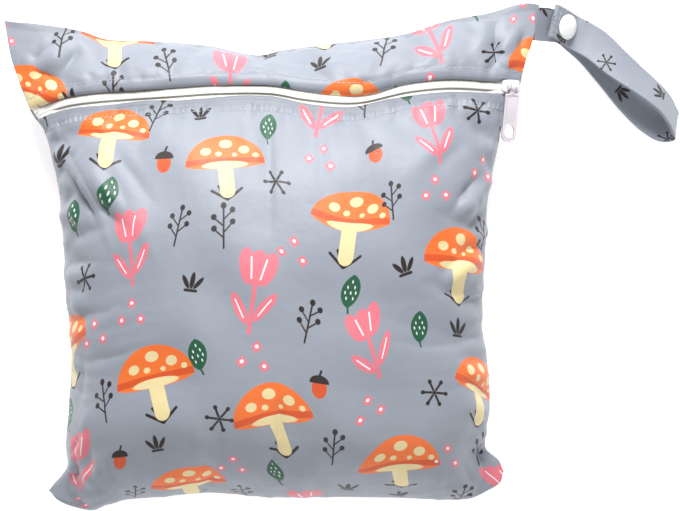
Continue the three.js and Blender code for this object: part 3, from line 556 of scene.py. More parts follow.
def seeds(tree, point):
    drops = [oval(tree, point, (0, 1.2), (1.0, 3.4)), oval(tree, point, (-2.6, 0.4), (0.9, 3.0), 34),
             oval(tree, point, (2.6, 0.4), (0.9, 3.0), -34)]
    return {"brown": union(tree, drops + [stroke(tree, point, (-2.2, -2.8), (2.2, -2.8), 0.6)])}


def berrySpray(tree, point):
    stems = [stroke(tree, point, (0, -12.5), (0.3, 9.0), 0.5)]
    for side, start, end in ((-1, -7.0, -2.4), (1, -4.4, 0.4), (-1, -0.6, 3.8), (1, 2.6, 7.0)):
        stems.append(stroke(tree, point, (0, start), (side * 4.4, end), 0.42))
        stems.append(oval(tree, point, (side * 4.9, end + 0.9), (1.5, 1.7)))
    return {"brown": union(tree, stems + [oval(tree, point, (0.3, 10.6), (1.5, 1.9))])}


# Each cell of the repeat takes the next motif at its scale, and each column starts further on
motifs = [(toadstool, 1.42), (tulip, 1.5), (toadstool, 1.36), (toadstool, 1.46), (tulip, 1.36)]
between = [(leaf, 0.92), (gems, 1.12), (berrySpray, 1.0), (seeds, 1.3), (gems, 1.05)]
fillers = [(berrySpray, 0.98), (gems, 1.05), (starburst, 0.8), (leaf, 0.9), (seeds, 1.35),
           (berrySpray, 0.9), (acorn, 1.2)]
edgings = [(seeds, 1.1), (starburst, 0.55), (seeds, 1.2), (gems, 0.7)]


def scattered(tree, place, cell, chosen, layers):  # one motif a cell, set a little off its middle
    u, v, _ = split(tree, place)
    u = calc(tree, "MULTIPLY_ADD", v, cloth["lean"], u)
    column = calc(tree, "FLOOR", calc(tree, "DIVIDE", u, cell[0]))
    share = calc(tree, "FLOORED_MODULO", calc(tree, "MULTIPLY", column, cloth["columnStep"]), 1.0)
    step = calc(tree, "MULTIPLY", share, cell[1])
    raised = calc(tree, "ADD", v, step)
    row = calc(tree, "FLOOR", calc(tree, "DIVIDE", raised, cell[1]))
    noise = tree.nodes.new("ShaderNodeTexWhiteNoise")
    noise.noise_dimensions = "2D"
    feed(tree, join(tree, column, row), noise.inputs["Vector"])
    spread = vector(tree, "SUBTRACT", noise.outputs["Color"], (0.5, 0.5, 0.5))
    away = vector(tree, "MULTIPLY", spread, (cloth["drift"], cloth["drift"], 0))
    halfCell = (cell[0] / 2, cell[1] / 2, 0)
    middle = vector(tree, "MULTIPLY_ADD", join(tree, column, row), (*cell, 0), halfCell)
    x, y, _ = split(tree, vector(tree, "SUBTRACT", join(tree, u, raised), middle))
    upright = join(tree, calc(tree, "MULTIPLY_ADD", y, -cloth["lean"], x), y)
    local = vector(tree, "SUBTRACT", upright, away)
    swing = calc(tree, "SUBTRACT", noise.outputs["Value"], 0.5)
    local = turned(tree, local, calc(tree, "MULTIPLY", swing, math.radians(cloth["sway"])))
    step = calc(tree, "ADD", calc(tree, "MULTIPLY", column, cloth["rowStep"]), row)
    number = calc(tree, "ROUND", calc(tree, "FLOORED_MODULO", step, len(chosen)))
    for motif in dict.fromkeys(m for m, _ in chosen):
        here, size = 0.0, 0.0
        for i, (m, scale) in enumerate(chosen):
            if m is motif:
                picked = calc(tree, "COMPARE", number, float(i), 0.25)
                here = calc(tree, "MAXIMUM", here, picked)
                size = calc(tree, "MULTIPLY_ADD", picked, scale, size)
        size = calc(tree, "MAXIMUM", size, 0.5)
        hidden = calc(tree, "MULTIPLY", calc(tree, "SUBTRACT", 1.0, here), 50.0)
        shrunk = vector(tree, "DIVIDE", local, join(tree, size, size, 1.0))
        for colour, distance in motif(tree, shrunk).items():
            layers.setdefault(colour, []).append(calc(tree, "MULTIPLY_ADD", distance, size, hidden))


def printed(tree, shift, sparse=False):
    uv = tree.nodes.new("ShaderNodeUVMap")
    uv.uv_map = "cloth"
    place = vector(tree, "MULTIPLY_ADD", uv.outputs[0], (1000, 1000, 0), (*shift, 0))
    wide, high, layers = cloth["cellAcross"], cloth["cellUp"], {}
    if sparse:
        scattered(tree, place, (wide / 3, high / 2), edgings, layers)
    else:
        scattered(tree, place, (wide, high), motifs, layers)
        scattered(tree, vector(tree, "ADD", place, (0, high / 2, 0)), (wide, high), between, layers)
        aside = vector(tree, "ADD", place, (wide / 2, high * 0.2, 0))
        scattered(tree, aside, (wide, high / 2), fillers, layers)
    edge, masks = cloth["edgeSoftness"], []
    for colour in ("pink", "green", "orange", "rust", "brown", "cream", "white"):
        if colour not in layers:
            continue
        masks.append((colour, ramp(tree, union(tree, layers[colour]), edge, -edge)))
    return place, masks


def blendColour(tree, factor, a, b, how="MIX"):
    node = tree.nodes.new("ShaderNodeMix")
    node.data_type = "RGBA"
    node.blend_type = how
    feed(tree, factor, node.inputs["Factor"])
    feed(tree, a, node.inputs[6])
    feed(tree, b, node.inputs[7])
    return node.outputs[2]


def shaded(tree, colour, tone):
    return blendColour(tree, 1.0, colour, join(tree, tone, tone, tone), "MULTIPLY")


def noiseAt(tree, place, scale, detail=2.0):
    node = tree.nodes.new("ShaderNodeTexNoise")
    feed(tree, place, node.inputs["Vector"])
    node.inputs["Scale"].default_value = scale
    node.inputs["Detail"].default_value = detail
    return node.outputs["Fac"]


def bumped(tree, height, strength, distance, normal=None):
    node = tree.nodes.new("ShaderNodeBump")
    node.inputs["Strength"].default_value = strength
    node.inputs["Distance"].default_value = distance
    feed(tree, height, node.inputs["Height"])
    if normal is not None:
        feed(tree, normal, node.inputs["Normal"])
    return node.outputs[0]


def newMaterial(name):
    material = bpy.data.materials.new(name)
    material.use_nodes = True
    return material, material.node_tree, material.node_tree.nodes["Principled BSDF"]


def weave(tree, place, pitch):  # place in millimetres
    x, y, _ = split(tree, place)
    rate = 2 * math.pi / pitch
    warp = calc(tree, "SINE", calc(tree, "MULTIPLY", x, rate))
    weft = calc(tree, "SINE", calc(tree, "MULTIPLY", y, rate))
    return calc(tree, "MULTIPLY", warp, weft)


def clothPlace(tree):  # the cloth's own flat measure, in millimetres
    uv = tree.nodes.new("ShaderNodeUVMap")
    uv.uv_map = "cloth"
    return vector(tree, "MULTIPLY", uv.outputs[0], (1000, 1000, 0))


def puckerAt(tree, stitchAt):  # small gathers of the sewing, stitchAt millimetres from the hem
    u, v, _ = split(tree, clothPlace(tree))
    across = calc(tree, "DIVIDE", calc(tree, "SUBTRACT", v, stitchAt), cloth["stitchReach"])
    near = calc(tree, "EXPONENT", calc(tree, "MULTIPLY", calc(tree, "MULTIPLY", across, across), -1.0))
    wave = calc(tree, "SINE", calc(tree, "MULTIPLY", u, 2 * math.pi / cloth["stitchPitch"]))
    return calc(tree, "MULTIPLY", near, calc(tree, "SUBTRACT", calc(tree, "MULTIPLY", wave, 0.5), 0.6))


def hemPaintedShade(tree, stitchAt):  # painted shade: darkens the cloth's colour in a strip along the edge its v measure starts from, easing back to full brightness at the stitch line; it stands in for the shade of the zipper's recess
    away = calc(tree, "ABSOLUTE", split(tree, clothPlace(tree))[1])
    reach = abs(stitchAt)
    return ramp(tree, away, reach - cloth["hemFade"], reach, cloth["hemPaintedShade"], 1.0, "SMOOTHSTEP")


def satinCloth(name, shift=(0, 0), stitchAt=0.0, sparse=False):
    material, tree, shader = newMaterial(name)
    place, masks = printed(tree, shift, sparse)
    threads = weave(tree, place, cloth["threadPitch"])
    patch = noiseAt(tree, place, 0.035, 3.0)
    colour = shaded(tree, linear("ground"), calc(tree, "MULTIPLY_ADD", patch, 0.16, 0.92))
    for key, mask in masks:
        colour = blendColour(tree, mask, colour, linear(key))
    grain = calc(tree, "MULTIPLY_ADD", threads, 0.03, 0.985)
    # on the hemmed panels the painted hem shade is multiplied into the weave tone here
    if stitchAt:
        grain = calc(tree, "MULTIPLY", grain, hemPaintedShade(tree, stitchAt))
    tree.links.new(shaded(tree, colour, grain), shader.inputs["Base Color"])
    rough = calc(tree, "MULTIPLY_ADD", noiseAt(tree, place, 0.12, 2.0), 0.10, cloth["roughness"] - 0.05)
    tree.links.new(rough, shader.inputs["Roughness"])
    shader.inputs["Sheen Weight"].default_value = cloth["sheen"]
    shader.inputs["Sheen Roughness"].default_value = cloth["sheenRoughness"]
    shader.inputs["Specular IOR Level"].default_value = cloth["specular"]
    uneven = bumped(tree, noiseAt(tree, place, 0.045, 5.0), cloth["crumple"], 0.004)
    uneven = bumped(tree, noiseAt(tree, place, 0.22, 4.0), cloth["patchBump"], 0.0012, uneven)
    if stitchAt:
        uneven = bumped(tree, puckerAt(tree, stitchAt), cloth["stitchBump"], 0.0006, uneven)
    tree.links.new(bumped(tree, threads, cloth["weaveBump"], 0.00012, uneven), shader.inputs["Normal"])
    return material


def objectPlace(tree):  # in millimetres
    node = tree.nodes.new("ShaderNodeTexCoord")
    return vector(tree, "MULTIPLY", node.outputs["Object"], (1000, 1000, 1000))


def tapeCloth():
    material, tree, shader = newMaterial("zipperTape")
    place = objectPlace(tree)
    x, y, _ = split(tree, place)
    rib = calc(tree, "SINE", calc(tree, "MULTIPLY", y, 2 * math.pi / trim["ribPitch"]))
    slant = calc(tree, "ADD", x, y)
    twill = calc(tree, "SINE", calc(tree, "MULTIPLY", slant, 2 * math.pi / trim["twillPitch"]))
    height = calc(tree, "MULTIPLY_ADD", rib, 0.5, twill)
    tone = calc(tree, "MULTIPLY_ADD", noiseAt(tree, place, 0.2, 3.0), 0.08, 0.94)
    tree.links.new(shaded(tree, linear("tape"), tone), shader.inputs["Base Color"])
    shader.inputs["Roughness"].default_value = trim["tapeRoughness"]
    shader.inputs["Sheen Weight"].default_value = trim["tapeSheen"]
    tree.links.new(bumped(tree, height, trim["tapeBump"], 0.00015), shader.inputs["Normal"])
    return material


def hardPlastic(name, colourName, roughness, coat=0.0, grain=0.04):
    material, tree, shader = newMaterial(name)
    place = objectPlace(tree)
    tone = calc(tree, "MULTIPLY_ADD", noiseAt(tree, place, 0.35, 3.0), 0.06, 0.96)
    tree.links.new(shaded(tree, linear(colourName), tone), shader.inputs["Base Color"])
    rough = calc(tree, "MULTIPLY_ADD", noiseAt(tree, place, 1.3, 4.0), 0.16, roughness - 0.08)
    tree.links.new(rough, shader.inputs["Roughness"])
    shader.inputs["Coat Weight"].default_value = coat
    shader.inputs["Subsurface Weight"].default_value = trim["plasticDepth"]
    shader.inputs["Subsurface Radius"].default_value = (0.002, 0.0018, 0.0018)
    tree.links.new(bumped(tree, noiseAt(tree, place, 2.4, 2.0), grain, 0.0001), shader.inputs["Normal"])
    return material


def threadCloth():
    material, tree, shader = newMaterial("sewingThread")
    place = objectPlace(tree)
    x, y, _ = split(tree, place)
    slant = calc(tree, "ADD", x, y)
    twist = calc(tree, "SINE", calc(tree, "MULTIPLY", slant, 2 * math.pi / trim["twistPitch"]))
    tone = calc(tree, "MULTIPLY_ADD", twist, 0.06, 0.94)
    tree.links.new(shaded(tree, linear("thread"), tone), shader.inputs["Base Color"])
    shader.inputs["Roughness"].default_value = trim["threadRoughness"]
    tree.links.new(bumped(tree, twist, trim["threadBump"], 0.0001), shader.inputs["Normal"])
    return material


frontCloth = satinCloth("frontCloth", (412, 640), -8.2)
topCloth = satinCloth("topCloth", (455, 410), 5.0)
backCloth = satinCloth("backCloth", (1360, 975))
strapCloth = satinCloth("strapCloth", (731, 318), sparse=True)
tapeMaterial = tapeCloth()
coilMaterial = hardPlastic("coilNylon", "coil", 0.42)
sliderMaterial = hardPlastic("mouldedPlastic", "plastic", 0.30, 0.25)
snapMaterial = hardPlastic("snapPlastic", "snap", 0.22, 0.4, 0.02)
threadMaterial = threadCloth()
print("materials made")


def finishPiece(obj, material, replaced=(), body="bag"):
    obj.data.materials.clear()
    obj.data.materials.append(material)
    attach(obj, body)
    if replaced:
        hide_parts(*replaced)


# Cloth panels
panels = {
    "columns": 190, "frontRows": 150, "topRows": 44, "backColumns": 150, "backRows": 110,
    "hemSteps": (0.0, 0.15, 0.35, 0.6, 0.9, 1.3, 1.8, 2.5), "hemRound": 1.3,
    "lowerStitch": 12.4, "upperStitch": 9.2, "stitchDip": 0.55, "pucker": 0.55,
    "seamPucker": 0.9, "undulation": 0.8, "overTape": -0.4,
    "frontRun": 235, "topRun": 40, "acrossRun": 240,  # how far each panel runs
}


def crimped(x, y, s, height, seed):  # gathers beside the side seams
    edge = np.minimum(s, 1 - s) * panels["acrossRun"]
    crimp = waves(0.2 * x, y, 13, seed) * np.exp(-((edge - 7) / 9) ** 2)
    return panels["seamPucker"] * crimp * smooth(0.5, 8, height)


def panelRelief(point, s, away, height):
    x, y = point[..., 0], point[..., 1]
    lift = foldLift(point, fineFolds) * smooth(0, bag["foldFade"], height)
    lift = lift + creaseLift(point) * smooth(0, 2.5, height) * smooth(9, 14, np.abs(away))
    lift = lift + panels["undulation"] * waves(x, y, 46, 3) * smooth(2, 24, height)
    for line, reach in ((-panels["lowerStitch"], 5.5), (panels["upperStitch"], 4.0)):
        lift = lift - panels["stitchDip"] * np.exp(-(((away - line) / 0.9) ** 2))
        puckers = waves(x, 0.15 * y, 7.5, 11 + int(reach)) * np.exp(-(((away - line) / reach) ** 2))
        lift = lift + panels["pucker"] * puckers * smooth(0, 6, height)
    lift = lift + crimped(x, y, s, height, 21)
    return mix(np.maximum(lift, panels["overTape"]), lift, smooth(8.6, 11, np.abs(away)))


def hemDrop(away):
    edge = np.clip(1 - (np.abs(away) - zipper["band"] / 2) / panels["hemRound"], 0, 1)
    return panels["hemRound"] * (1 - np.sqrt(1 - edge ** 2)) * 0.75


def frontSheet(name, s, t, material, node):
    plain = frontPoint(s, t, True, [])
    inner = frontPoint(s, t)
    away = aboveZip(inner[..., :2])
    height = (bag["depth"] - bag["seamHeight"]) * pillow(inner[..., :2], s, t)
    relief = panelRelief(inner[..., :2], s, away, height) - hemDrop(away)
    seams = 1 - smooth(0.0, 0.02, np.minimum(s, 1 - s))
    held = np.maximum(1 - smooth(9.0, 13.0, np.abs(away)), seams)
    held[[0, -1], :] = 1
    fade = smooth(0.5, 5, height)[..., None]
    inner = inner + normals(inner, 1) * relief[..., None] + settled(inner, held) * fade
    across, up = arcRuns(plain)
    uv = np.stack([across + plain[:, [plain.shape[1] // 2], 0], up], -1)
    finishPiece(closedSheet(name, inner, bag["clothWall"], 1, uv), material, (node,))
    return inner


# The panels settle once as simulated cloth, held by their seams and hems
soft = {
    "columns": 96, "rows": 84, "frames": 20, "scale": 0.01, "quality": 5, "mass": 0.05,
    "tension": 15, "bending": 0.12, "growth": 0.035, "pressure": 3.0, "blur": 70, "cap": 4.0,
}


def splineWeights(fine, coarse):  # a smooth curve over the coarse places, read at the fine ones
    last = len(coarse) - 1
    run = np.interp(np.arange(fine), coarse, np.arange(last + 1))
    low = np.minimum(run.astype(int), last - 1)
    w = run - low
    shares = ((1 - w) ** 3 / 6, (3 * w ** 3 - 6 * w ** 2 + 4) / 6,
              (-3 * w ** 3 + 3 * w ** 2 + 3 * w + 1) / 6, w ** 3 / 6)
    weights = np.zeros((fine, last + 1))
    for step, share in zip((-1, 0, 1, 2), shares):
        np.add.at(weights, (np.arange(fine), np.clip(low + step, 0, last)), share)
    return weights


def blurred(field, times):
    for _ in range(times):
        for axis in (0, 1):
            last = field.shape[axis] - 1
            before = np.take(field, np.maximum(np.arange(last + 1) - 1, 0), axis)
            after = np.take(field, np.minimum(np.arange(last + 1) + 1, last), axis)
            field = field / 2 + (before + after) / 4
    return field


def simulated(coarse, held):
    rows, columns = coarse.shape[:2]
    at = np.arange(rows * columns).reshape(rows, columns)
    faces = np.stack([at[:-1, :-1], at[:-1, 1:], at[1:, 1:], at[1:, :-1]], -1).reshape(-1, 4)
    mesh = bpy.data.meshes.new("settling")
    mesh.from_pydata((coarse.reshape(-1, 3) * soft["scale"]).tolist(), [], faces.tolist())
    obj = bpy.data.objects.new("settling", mesh)
    scene = bpy.context.scene
    scene.collection.objects.link(obj)
    group = obj.vertex_groups.new(name="held")
    for index, weight in enumerate(held.ravel()):
        if weight > 0:
            group.add([index], float(weight), "REPLACE")
    modifier = obj.modifiers.new("cloth", "CLOTH")
    settings = modifier.settings
    settings.quality = soft["quality"]
    settings.mass = soft["mass"]
    settings.tension_stiffness = soft["tension"]
    settings.compression_stiffness = soft["tension"]
    settings.shear_stiffness = soft["tension"]
    settings.bending_stiffness = soft["bending"]
    settings.vertex_group_mass = "held"
    settings.shrink_min = -soft["growth"]
    settings.use_pressure = True
    settings.uniform_pressure_force = soft["pressure"]
    settings.effector_weights.gravity = 0
    modifier.collision_settings.use_collision = False
    modifier.point_cache.frame_start = 1
    modifier.point_cache.frame_end = soft["frames"]
    for number in range(1, soft["frames"] + 1):
        scene.frame_set(number)
    evaluated = obj.evaluated_get(bpy.context.evaluated_depsgraph_get()).data
    places = np.zeros(rows * columns * 3, np.float32)
    evaluated.vertices.foreach_get("co", places)
    bpy.data.objects.remove(obj)
    scene.frame_set(1)
    return places.reshape(rows, columns, 3).astype(float) / soft["scale"]


def settled(grid, held, flip=False):  # offset of each point of a grid, in millimetres
    rows = np.unique(np.linspace(0, grid.shape[0] - 1, soft["rows"]).round().astype(int))
    columns = np.unique(np.linspace(0, grid.shape[1] - 1, soft["columns"]).round().astype(int))
    coarse, weight = grid[np.ix_(rows, columns)], held[np.ix_(rows, columns)]
    if flip:
        coarse, weight = coarse[:, ::-1], weight[:, ::-1]
    away = simulated(coarse, weight) - coarse
    if flip:
        away = away[:, ::-1]
    away = away - blurred(away, soft["blur"])
    size = np.linalg.norm(away, axis=-1, keepdims=True)
    print("settled", round(float(size.mean()), 2), round(float(size.max()), 2))
    away = away * np.minimum(1, soft["cap"] / np.maximum(size, 1e-6))
    across = np.einsum("fr,rcx->fcx", splineWeights(grid.shape[0], rows), away)
    return np.einsum("gc,fcx->fgx", splineWeights(grid.shape[1], columns), across)


def gridShares(columns, rows):
    return np.meshgrid(eased(np.linspace(0, 1, columns)), rows)


hemSteps = np.array(panels["hemSteps"])
frontRows = lowerEased(np.linspace(0, 1, panels["frontRows"]))
frontRows = np.unique(np.concatenate([frontRows, 1 - hemSteps / panels["frontRun"]]))
sGrid, vGrid = gridShares(panels["columns"], frontRows)
frontTop = zipRun(sGrid[0], -zipper["band"] / 2)
frontInner = frontSheet("frontCloth", sGrid, vGrid * frontTop, frontCloth, "front_panel")

topRows = upperEased(np.linspace(0, 1, panels["topRows"]))
topRows = np.unique(np.concatenate([topRows, hemSteps / panels["topRun"]]))
sGrid, vGrid = gridShares(panels["columns"], topRows)
topX = frontPoint(sGrid[0], zipRun(sGrid[0], 0))[:, 0]
lipOver = 0.8 + np.exp(-((topX - 45) / 36) ** 2)  # the lip hangs over the tape, most at its swell
lipOver = smooth(-120, -60, topX) * (1 - smooth(88, 112, topX)) * lipOver
topStart = zipRun(sGrid[0], zipper["band"] / 2 - lipOver)
topInner = frontSheet("topCloth", sGrid, mix(topStart, 1, vGrid), topCloth, "top_panel")


def backSheet():
    v = np.linspace(0, 1, panels["backRows"])
    s, t = gridShares(panels["backColumns"], mix(lowerEased(v), upperEased(v), v))
    inner = backPoint(s, t)
    point = inner[..., :2]
    free = smooth(1.0, 9.0, inner[..., 2] - bag["clothWall"])
    height = bag["backSwell"] * pillow(point, s, t)
    x, y = point[..., 0], point[..., 1]
    lift = panels["undulation"] * waves(x, y, 44, 5) * smooth(2, 24, height)
    lift = lift + crimped(x, y, s, height, 27)
    lift = lift + foldLift(point, fineFolds) * 0.7 * smooth(0, bag["foldFade"], height)
    held = np.maximum(1 - free, np.minimum(s, 1 - s) < 0.01)
    held[[0, -1], :] = 1
    fade = free * smooth(0.5, 5, height)
    relief = normals(inner, -1) * (lift * free)[..., None]
    inner = inner + relief + settled(inner, held, True) * fade[..., None]
    across, up = arcRuns(backPoint(s, t))
    uv = np.stack([-across, up], -1)
    obj = closedSheet("backCloth", inner, bag["clothWall"], -1, uv)
    finishPiece(obj, backCloth, ("back_panel",))


backSheet()
print("cloth panels made")


# Zipper
def zipShare(x):
    low, high = 0.0, 1.0
    for _ in range(26):
        s = (low + high) / 2
        if outline(s, zipRun(s, 0))[0] < x:
            low = s
        else:
            high = s
    return (low + high) / 2


zipLeft, zipRight = (frontPoint(s, zipRun(s, 0)) for s in (0, 1))
zipSpan = zipRight[0] - zipLeft[0]
sliderX = zipRight[0] - slider["inset"]
tapeFlush = slider["inset"] + slider["length"] / 2 + 1


def tape(name, direction, node):
    uneased = [math.acos(1 - 2 * zipShare(x)) / math.pi
               for x in (zipLeft[0] + zipper["tapeStart"], zipRight[0] - zipper["tapeEnd"])]
    s = eased(np.linspace(*uneased, 180))
    x = zipLeft[0] + zipSpan * s
    inset = np.minimum(x - zipLeft[0], zipRight[0] - x)
    lap = zipper["tapeLap"] * smooth(tapeFlush + 7, tapeFlush + 14, inset)
    wide = zipper["band"] / 2 + lap - bag["gap"]
    parted = (slider["postWidth"] / 2 + bag["gap"]) * smooth(sliderX - 2.5, sliderX - 0.5, x)
    rows = []
    for v in np.linspace(0, 1, 8):
        rows.append(frontPoint(s, zipRun(s, direction * mix(bag["gap"] / 2 + parted, wide, v)), False))
    grid = np.stack(rows)
    lower = -(zipper["tapeWall"] + zipper["lapGap"]) * smooth(tapeFlush, tapeFlush + 7, inset)
    across, up = arcRuns(grid)
    obj = closedSheet(name, grid, zipper["tapeWall"], direction, np.stack([across, up], -1), lower)
    finishPiece(obj, tapeMaterial, (node,))


tape("lowerTape", -1, "zipper_tape_lower")
tape("upperTape", 1, "zipper_tape_upper")


def unit(vectorValue):
    return vectorValue / np.linalg.norm(vectorValue)


def zipFrame(s, reach):
    middle = frontPoint(s, zipRun(s, 0), False)
    before, after = (frontPoint(k, zipRun(k, 0), False) for k in (s - reach, s + reach))
    below, above = (frontPoint(s, zipRun(s, d * zipper["band"] / 2), False) for d in (-1, 1))
    along = unit(after - before)
    up = unit(np.cross(along, above - below))
    return {"place": middle, "along": along, "beside": np.cross(up, along), "above": up}


def sweep(name, frames, section, uv=None, sharp=40):
    rings = [[f["place"] + f["beside"] * b + f["above"] * a for b, a in section] for f in frames]
    verts = np.array(rings).reshape(-1, 3)
    sides, faces = len(section), []
    for k in range(len(frames) - 1):
        for n in range(sides):
            m = (n + 1) % sides
            faces.append((k * sides + n, k * sides + m, (k + 1) * sides + m, (k + 1) * sides + n))
    faces.append(tuple(reversed(range(sides))))
    faces.append(tuple((len(frames) - 1) * sides + n for n in range(sides)))
    return meshObject(name, verts, faces, uv, sharp)


def lineObject(name, points):
    curve = bpy.data.curves.new(name, "CURVE")
    curve.dimensions = "3D"
    spline = curve.splines.new("POLY")
    spline.points.add(len(points) - 1)
    for place, point in zip(spline.points, points):
        place.co = (*[c * mm for c in point], 1)
    obj = bpy.data.objects.new(name, curve)
    bpy.context.scene.collection.objects.link(obj)
    return obj


def beadTree():  # one small rounded bead at each step along a line
    tree = bpy.data.node_groups.new("beadsAlongLine", "GeometryNodeTree")
    face = tree.interface
    face.new_socket("Line", in_out="INPUT", socket_type="NodeSocketGeometry")
    for key in ("Pitch", "Bead Length", "Bead Width", "Bead Height", "Slant"):
        face.new_socket(key, in_out="INPUT", socket_type="NodeSocketFloat")
    face.new_socket("Finish", in_out="INPUT", socket_type="NodeSocketMaterial")
    face.new_socket("Beads", in_out="OUTPUT", socket_type="NodeSocketGeometry")
    node = {key: tree.nodes.new(kind) for key, kind in {
        "in": "NodeGroupInput", "out": "NodeGroupOutput", "resample": "GeometryNodeResampleCurve",
        "sphere": "GeometryNodeMeshUVSphere", "shape": "GeometryNodeTransform",
        "size": "ShaderNodeCombineXYZ", "tilt": "ShaderNodeCombineXYZ",
        "tangent": "GeometryNodeInputTangent", "normal": "GeometryNodeInputNormal",
        "along": "FunctionNodeAlignRotationToVector", "points": "GeometryNodeInstanceOnPoints",
        "realize": "GeometryNodeRealizeInstances", "finish": "GeometryNodeSetMaterial",
        "smooth": "GeometryNodeSetShadeSmooth",
    }.items()}
    ins = node["in"].outputs
    node["resample"].mode = "LENGTH"
    node["along"].axis = "X"
    node["sphere"].inputs["Segments"].default_value = 8
    node["sphere"].inputs["Rings"].default_value = 5
    node["sphere"].inputs["Radius"].default_value = 0.5
    for a, b in (
        (ins["Line"], node["resample"].inputs["Curve"]), (ins["Pitch"], node["resample"].inputs["Length"]),
        (ins["Bead Length"], node["size"].inputs["X"]), (ins["Bead Width"], node["size"].inputs["Y"]),
        (ins["Bead Height"], node["size"].inputs["Z"]), (ins["Slant"], node["tilt"].inputs["Z"]),
        (node["sphere"].outputs["Mesh"], node["shape"].inputs["Geometry"]),
        (node["size"].outputs[0], node["shape"].inputs["Scale"]),
        (node["tilt"].outputs[0], node["shape"].inputs["Rotation"]),
        (node["tangent"].outputs[0], node["along"].inputs["Vector"]),
        (node["resample"].outputs["Curve"], node["points"].inputs["Points"]),
        (node["shape"].outputs["Geometry"], node["points"].inputs["Instance"]),
        (node["along"].outputs[0], node["points"].inputs["Rotation"]),
        (node["points"].outputs["Instances"], node["realize"].inputs["Geometry"]),
        (node["realize"].outputs["Geometry"], node["smooth"].inputs["Geometry"]),
        (node["smooth"].outputs["Geometry"], node["finish"].inputs["Geometry"]),
        (ins["Finish"], node["finish"].inputs["Material"]),
        (node["finish"].outputs["Geometry"], node["out"].inputs["Beads"]),
    ):
        tree.links.new(a, b)
    return tree


beads = beadTree()


def beaded(name, lines, sizes, material):  # sizes in millimetres: pitch, length, width, height, slant
    parts = []
    for points in lines:
        line = lineObject(name + "Line", points)
        modifier = line.modifiers.new("beads", "NODES")
        modifier.node_group = beads
        keys = {item.name: item.identifier for item in beads.interface.items_tree if item.in_out == "INPUT"}
        for key, value in zip(("Pitch", "Bead Length", "Bead Width", "Bead Height"), sizes[:4]):
            modifier[keys[key]] = value * mm
        modifier[keys["Slant"]] = math.radians(sizes[4])
        modifier[keys["Finish"]] = material
        evaluated = line.evaluated_get(bpy.context.evaluated_depsgraph_get())
        parts.append(bpy.data.meshes.new_from_object(evaluated))
        bpy.data.objects.remove(line)
    finishPiece(joinMeshes(name, parts), material)


def joinMeshes(name, parts):
    verts, faces, start = [], [], 0
    for part in parts:
        verts += [tuple(v.co) for v in part.vertices]
        faces += [tuple(start + i for i in p.vertices) for p in part.polygons]
        start += len(part.vertices)
    mesh = bpy.data.meshes.new(name)
    mesh.from_pydata(verts, [], faces)
    mesh.shade_smooth()
    obj = bpy.data.objects.new(name, mesh)
    bpy.context.scene.collection.objects.link(obj)
    return obj


def zipCoil():
    start, end = zipShare(zipLeft[0] + zipper["coilStart"]), zipShare(sliderX - 0.5)
    frames = [zipFrame(s, 0.004) for s in np.linspace(start, end, 160)]
    for f in frames:
        f["place"] = f["place"] + f["above"] * (zipper["tapeWall"] + zipper["coilSeat"])
    half, rise = zipper["coilWidth"] / 2, zipper["coilRise"]
    section = []
    for a in np.linspace(0, 2 * math.pi, 16, endpoint=False):
        swell = zipper["coreCrown"] if a < math.pi else zipper["coreDrop"]
        section.append((zipper["coreWidth"] * half * math.cos(a), rise * swell * math.sin(a)))
    core = sweep("coilCore", frames, section)
    finishPiece(core, coilMaterial, ("zipper_coil",))
    rows, lift = [], rise * zipper["toothLift"]
    for side in (-1, 1):
        aside = side * half * zipper["toothSide"]
        rows.append([f["place"] + f["beside"] * aside + f["above"] * lift for f in frames])
    sizes = (zipper["toothPitch"], zipper["toothLength"], half * zipper["toothWidth"],
             rise * zipper["toothRise"], 0)
    beaded("coilTeeth", rows, sizes, coilMaterial)


zipCoil()
print("zipper made")


# Stitches in millimetres, with those of the strap finer than those of the bag
stitch = {
    "pitch": 2.9, "length": 2.2, "width": 0.42, "height": 0.36, "lift": 0.12,
    "strapLength": 2.0, "strapWidth": 0.30, "strapHeight": 0.22, "strapLift": 0.1,
    "edgeInset": 1.2, "endInsets": (1.1, 3.6),
}


def stitchLine(inner, offset, sFrom, sTo):  # on the outer face of a grid, offset from the zipper
    away = aboveZip(inner[..., :2])
    outer = inner + normals(inner, 1) * (bag["clothWall"] + stitch["lift"])
    points = []
    shares = eased(np.linspace(0, 1, inner.shape[1]))
    for i in range(inner.shape[1]):
        if not sFrom <= shares[i] <= sTo:
            continue
        column = away[:, i]
        j = int(np.clip(np.searchsorted(column, offset), 1, len(column) - 1))
        k = (offset - column[j - 1]) / (column[j] - column[j - 1])
        points.append(mix(outer[j - 1, i], outer[j, i], k))
    return points


stitchSizes = (stitch["pitch"], stitch["length"], stitch["width"], stitch["height"], 0)
beaded("hemStitches", [stitchLine(frontInner, -panels["lowerStitch"], 0.012, 0.985),
                       stitchLine(topInner, panels["upperStitch"], 0.012, 0.988)],
       stitchSizes, threadMaterial)
print("hem stitches made")


# Slider and pull, in the slider's own frame
def bareMesh(name, verts, faces):
    mesh = bpy.data.meshes.new(name)
    mesh.from_pydata([tuple(map(float, v)) for v in verts], [], faces)
    return mesh


def loopNormals(loop):  # outward, on a loop that runs anticlockwise
    ahead = np.roll(loop, -1, axis=0) - np.roll(loop, 1, axis=0)
    out = np.stack([ahead[:, 1], -ahead[:, 0]], -1)
    return out / np.linalg.norm(out, axis=1, keepdims=True)


def edgeProfile(low, high, bevel, steps=3):  # inset and level, up over a rounded edge
    angles = np.linspace(0, math.pi / 2, steps + 1)
    lower = [(bevel * (1 - math.sin(a)), low + bevel * (1 - math.cos(a))) for a in angles]
    return lower + [(inset, low + high - level) for inset, level in reversed(lower)]


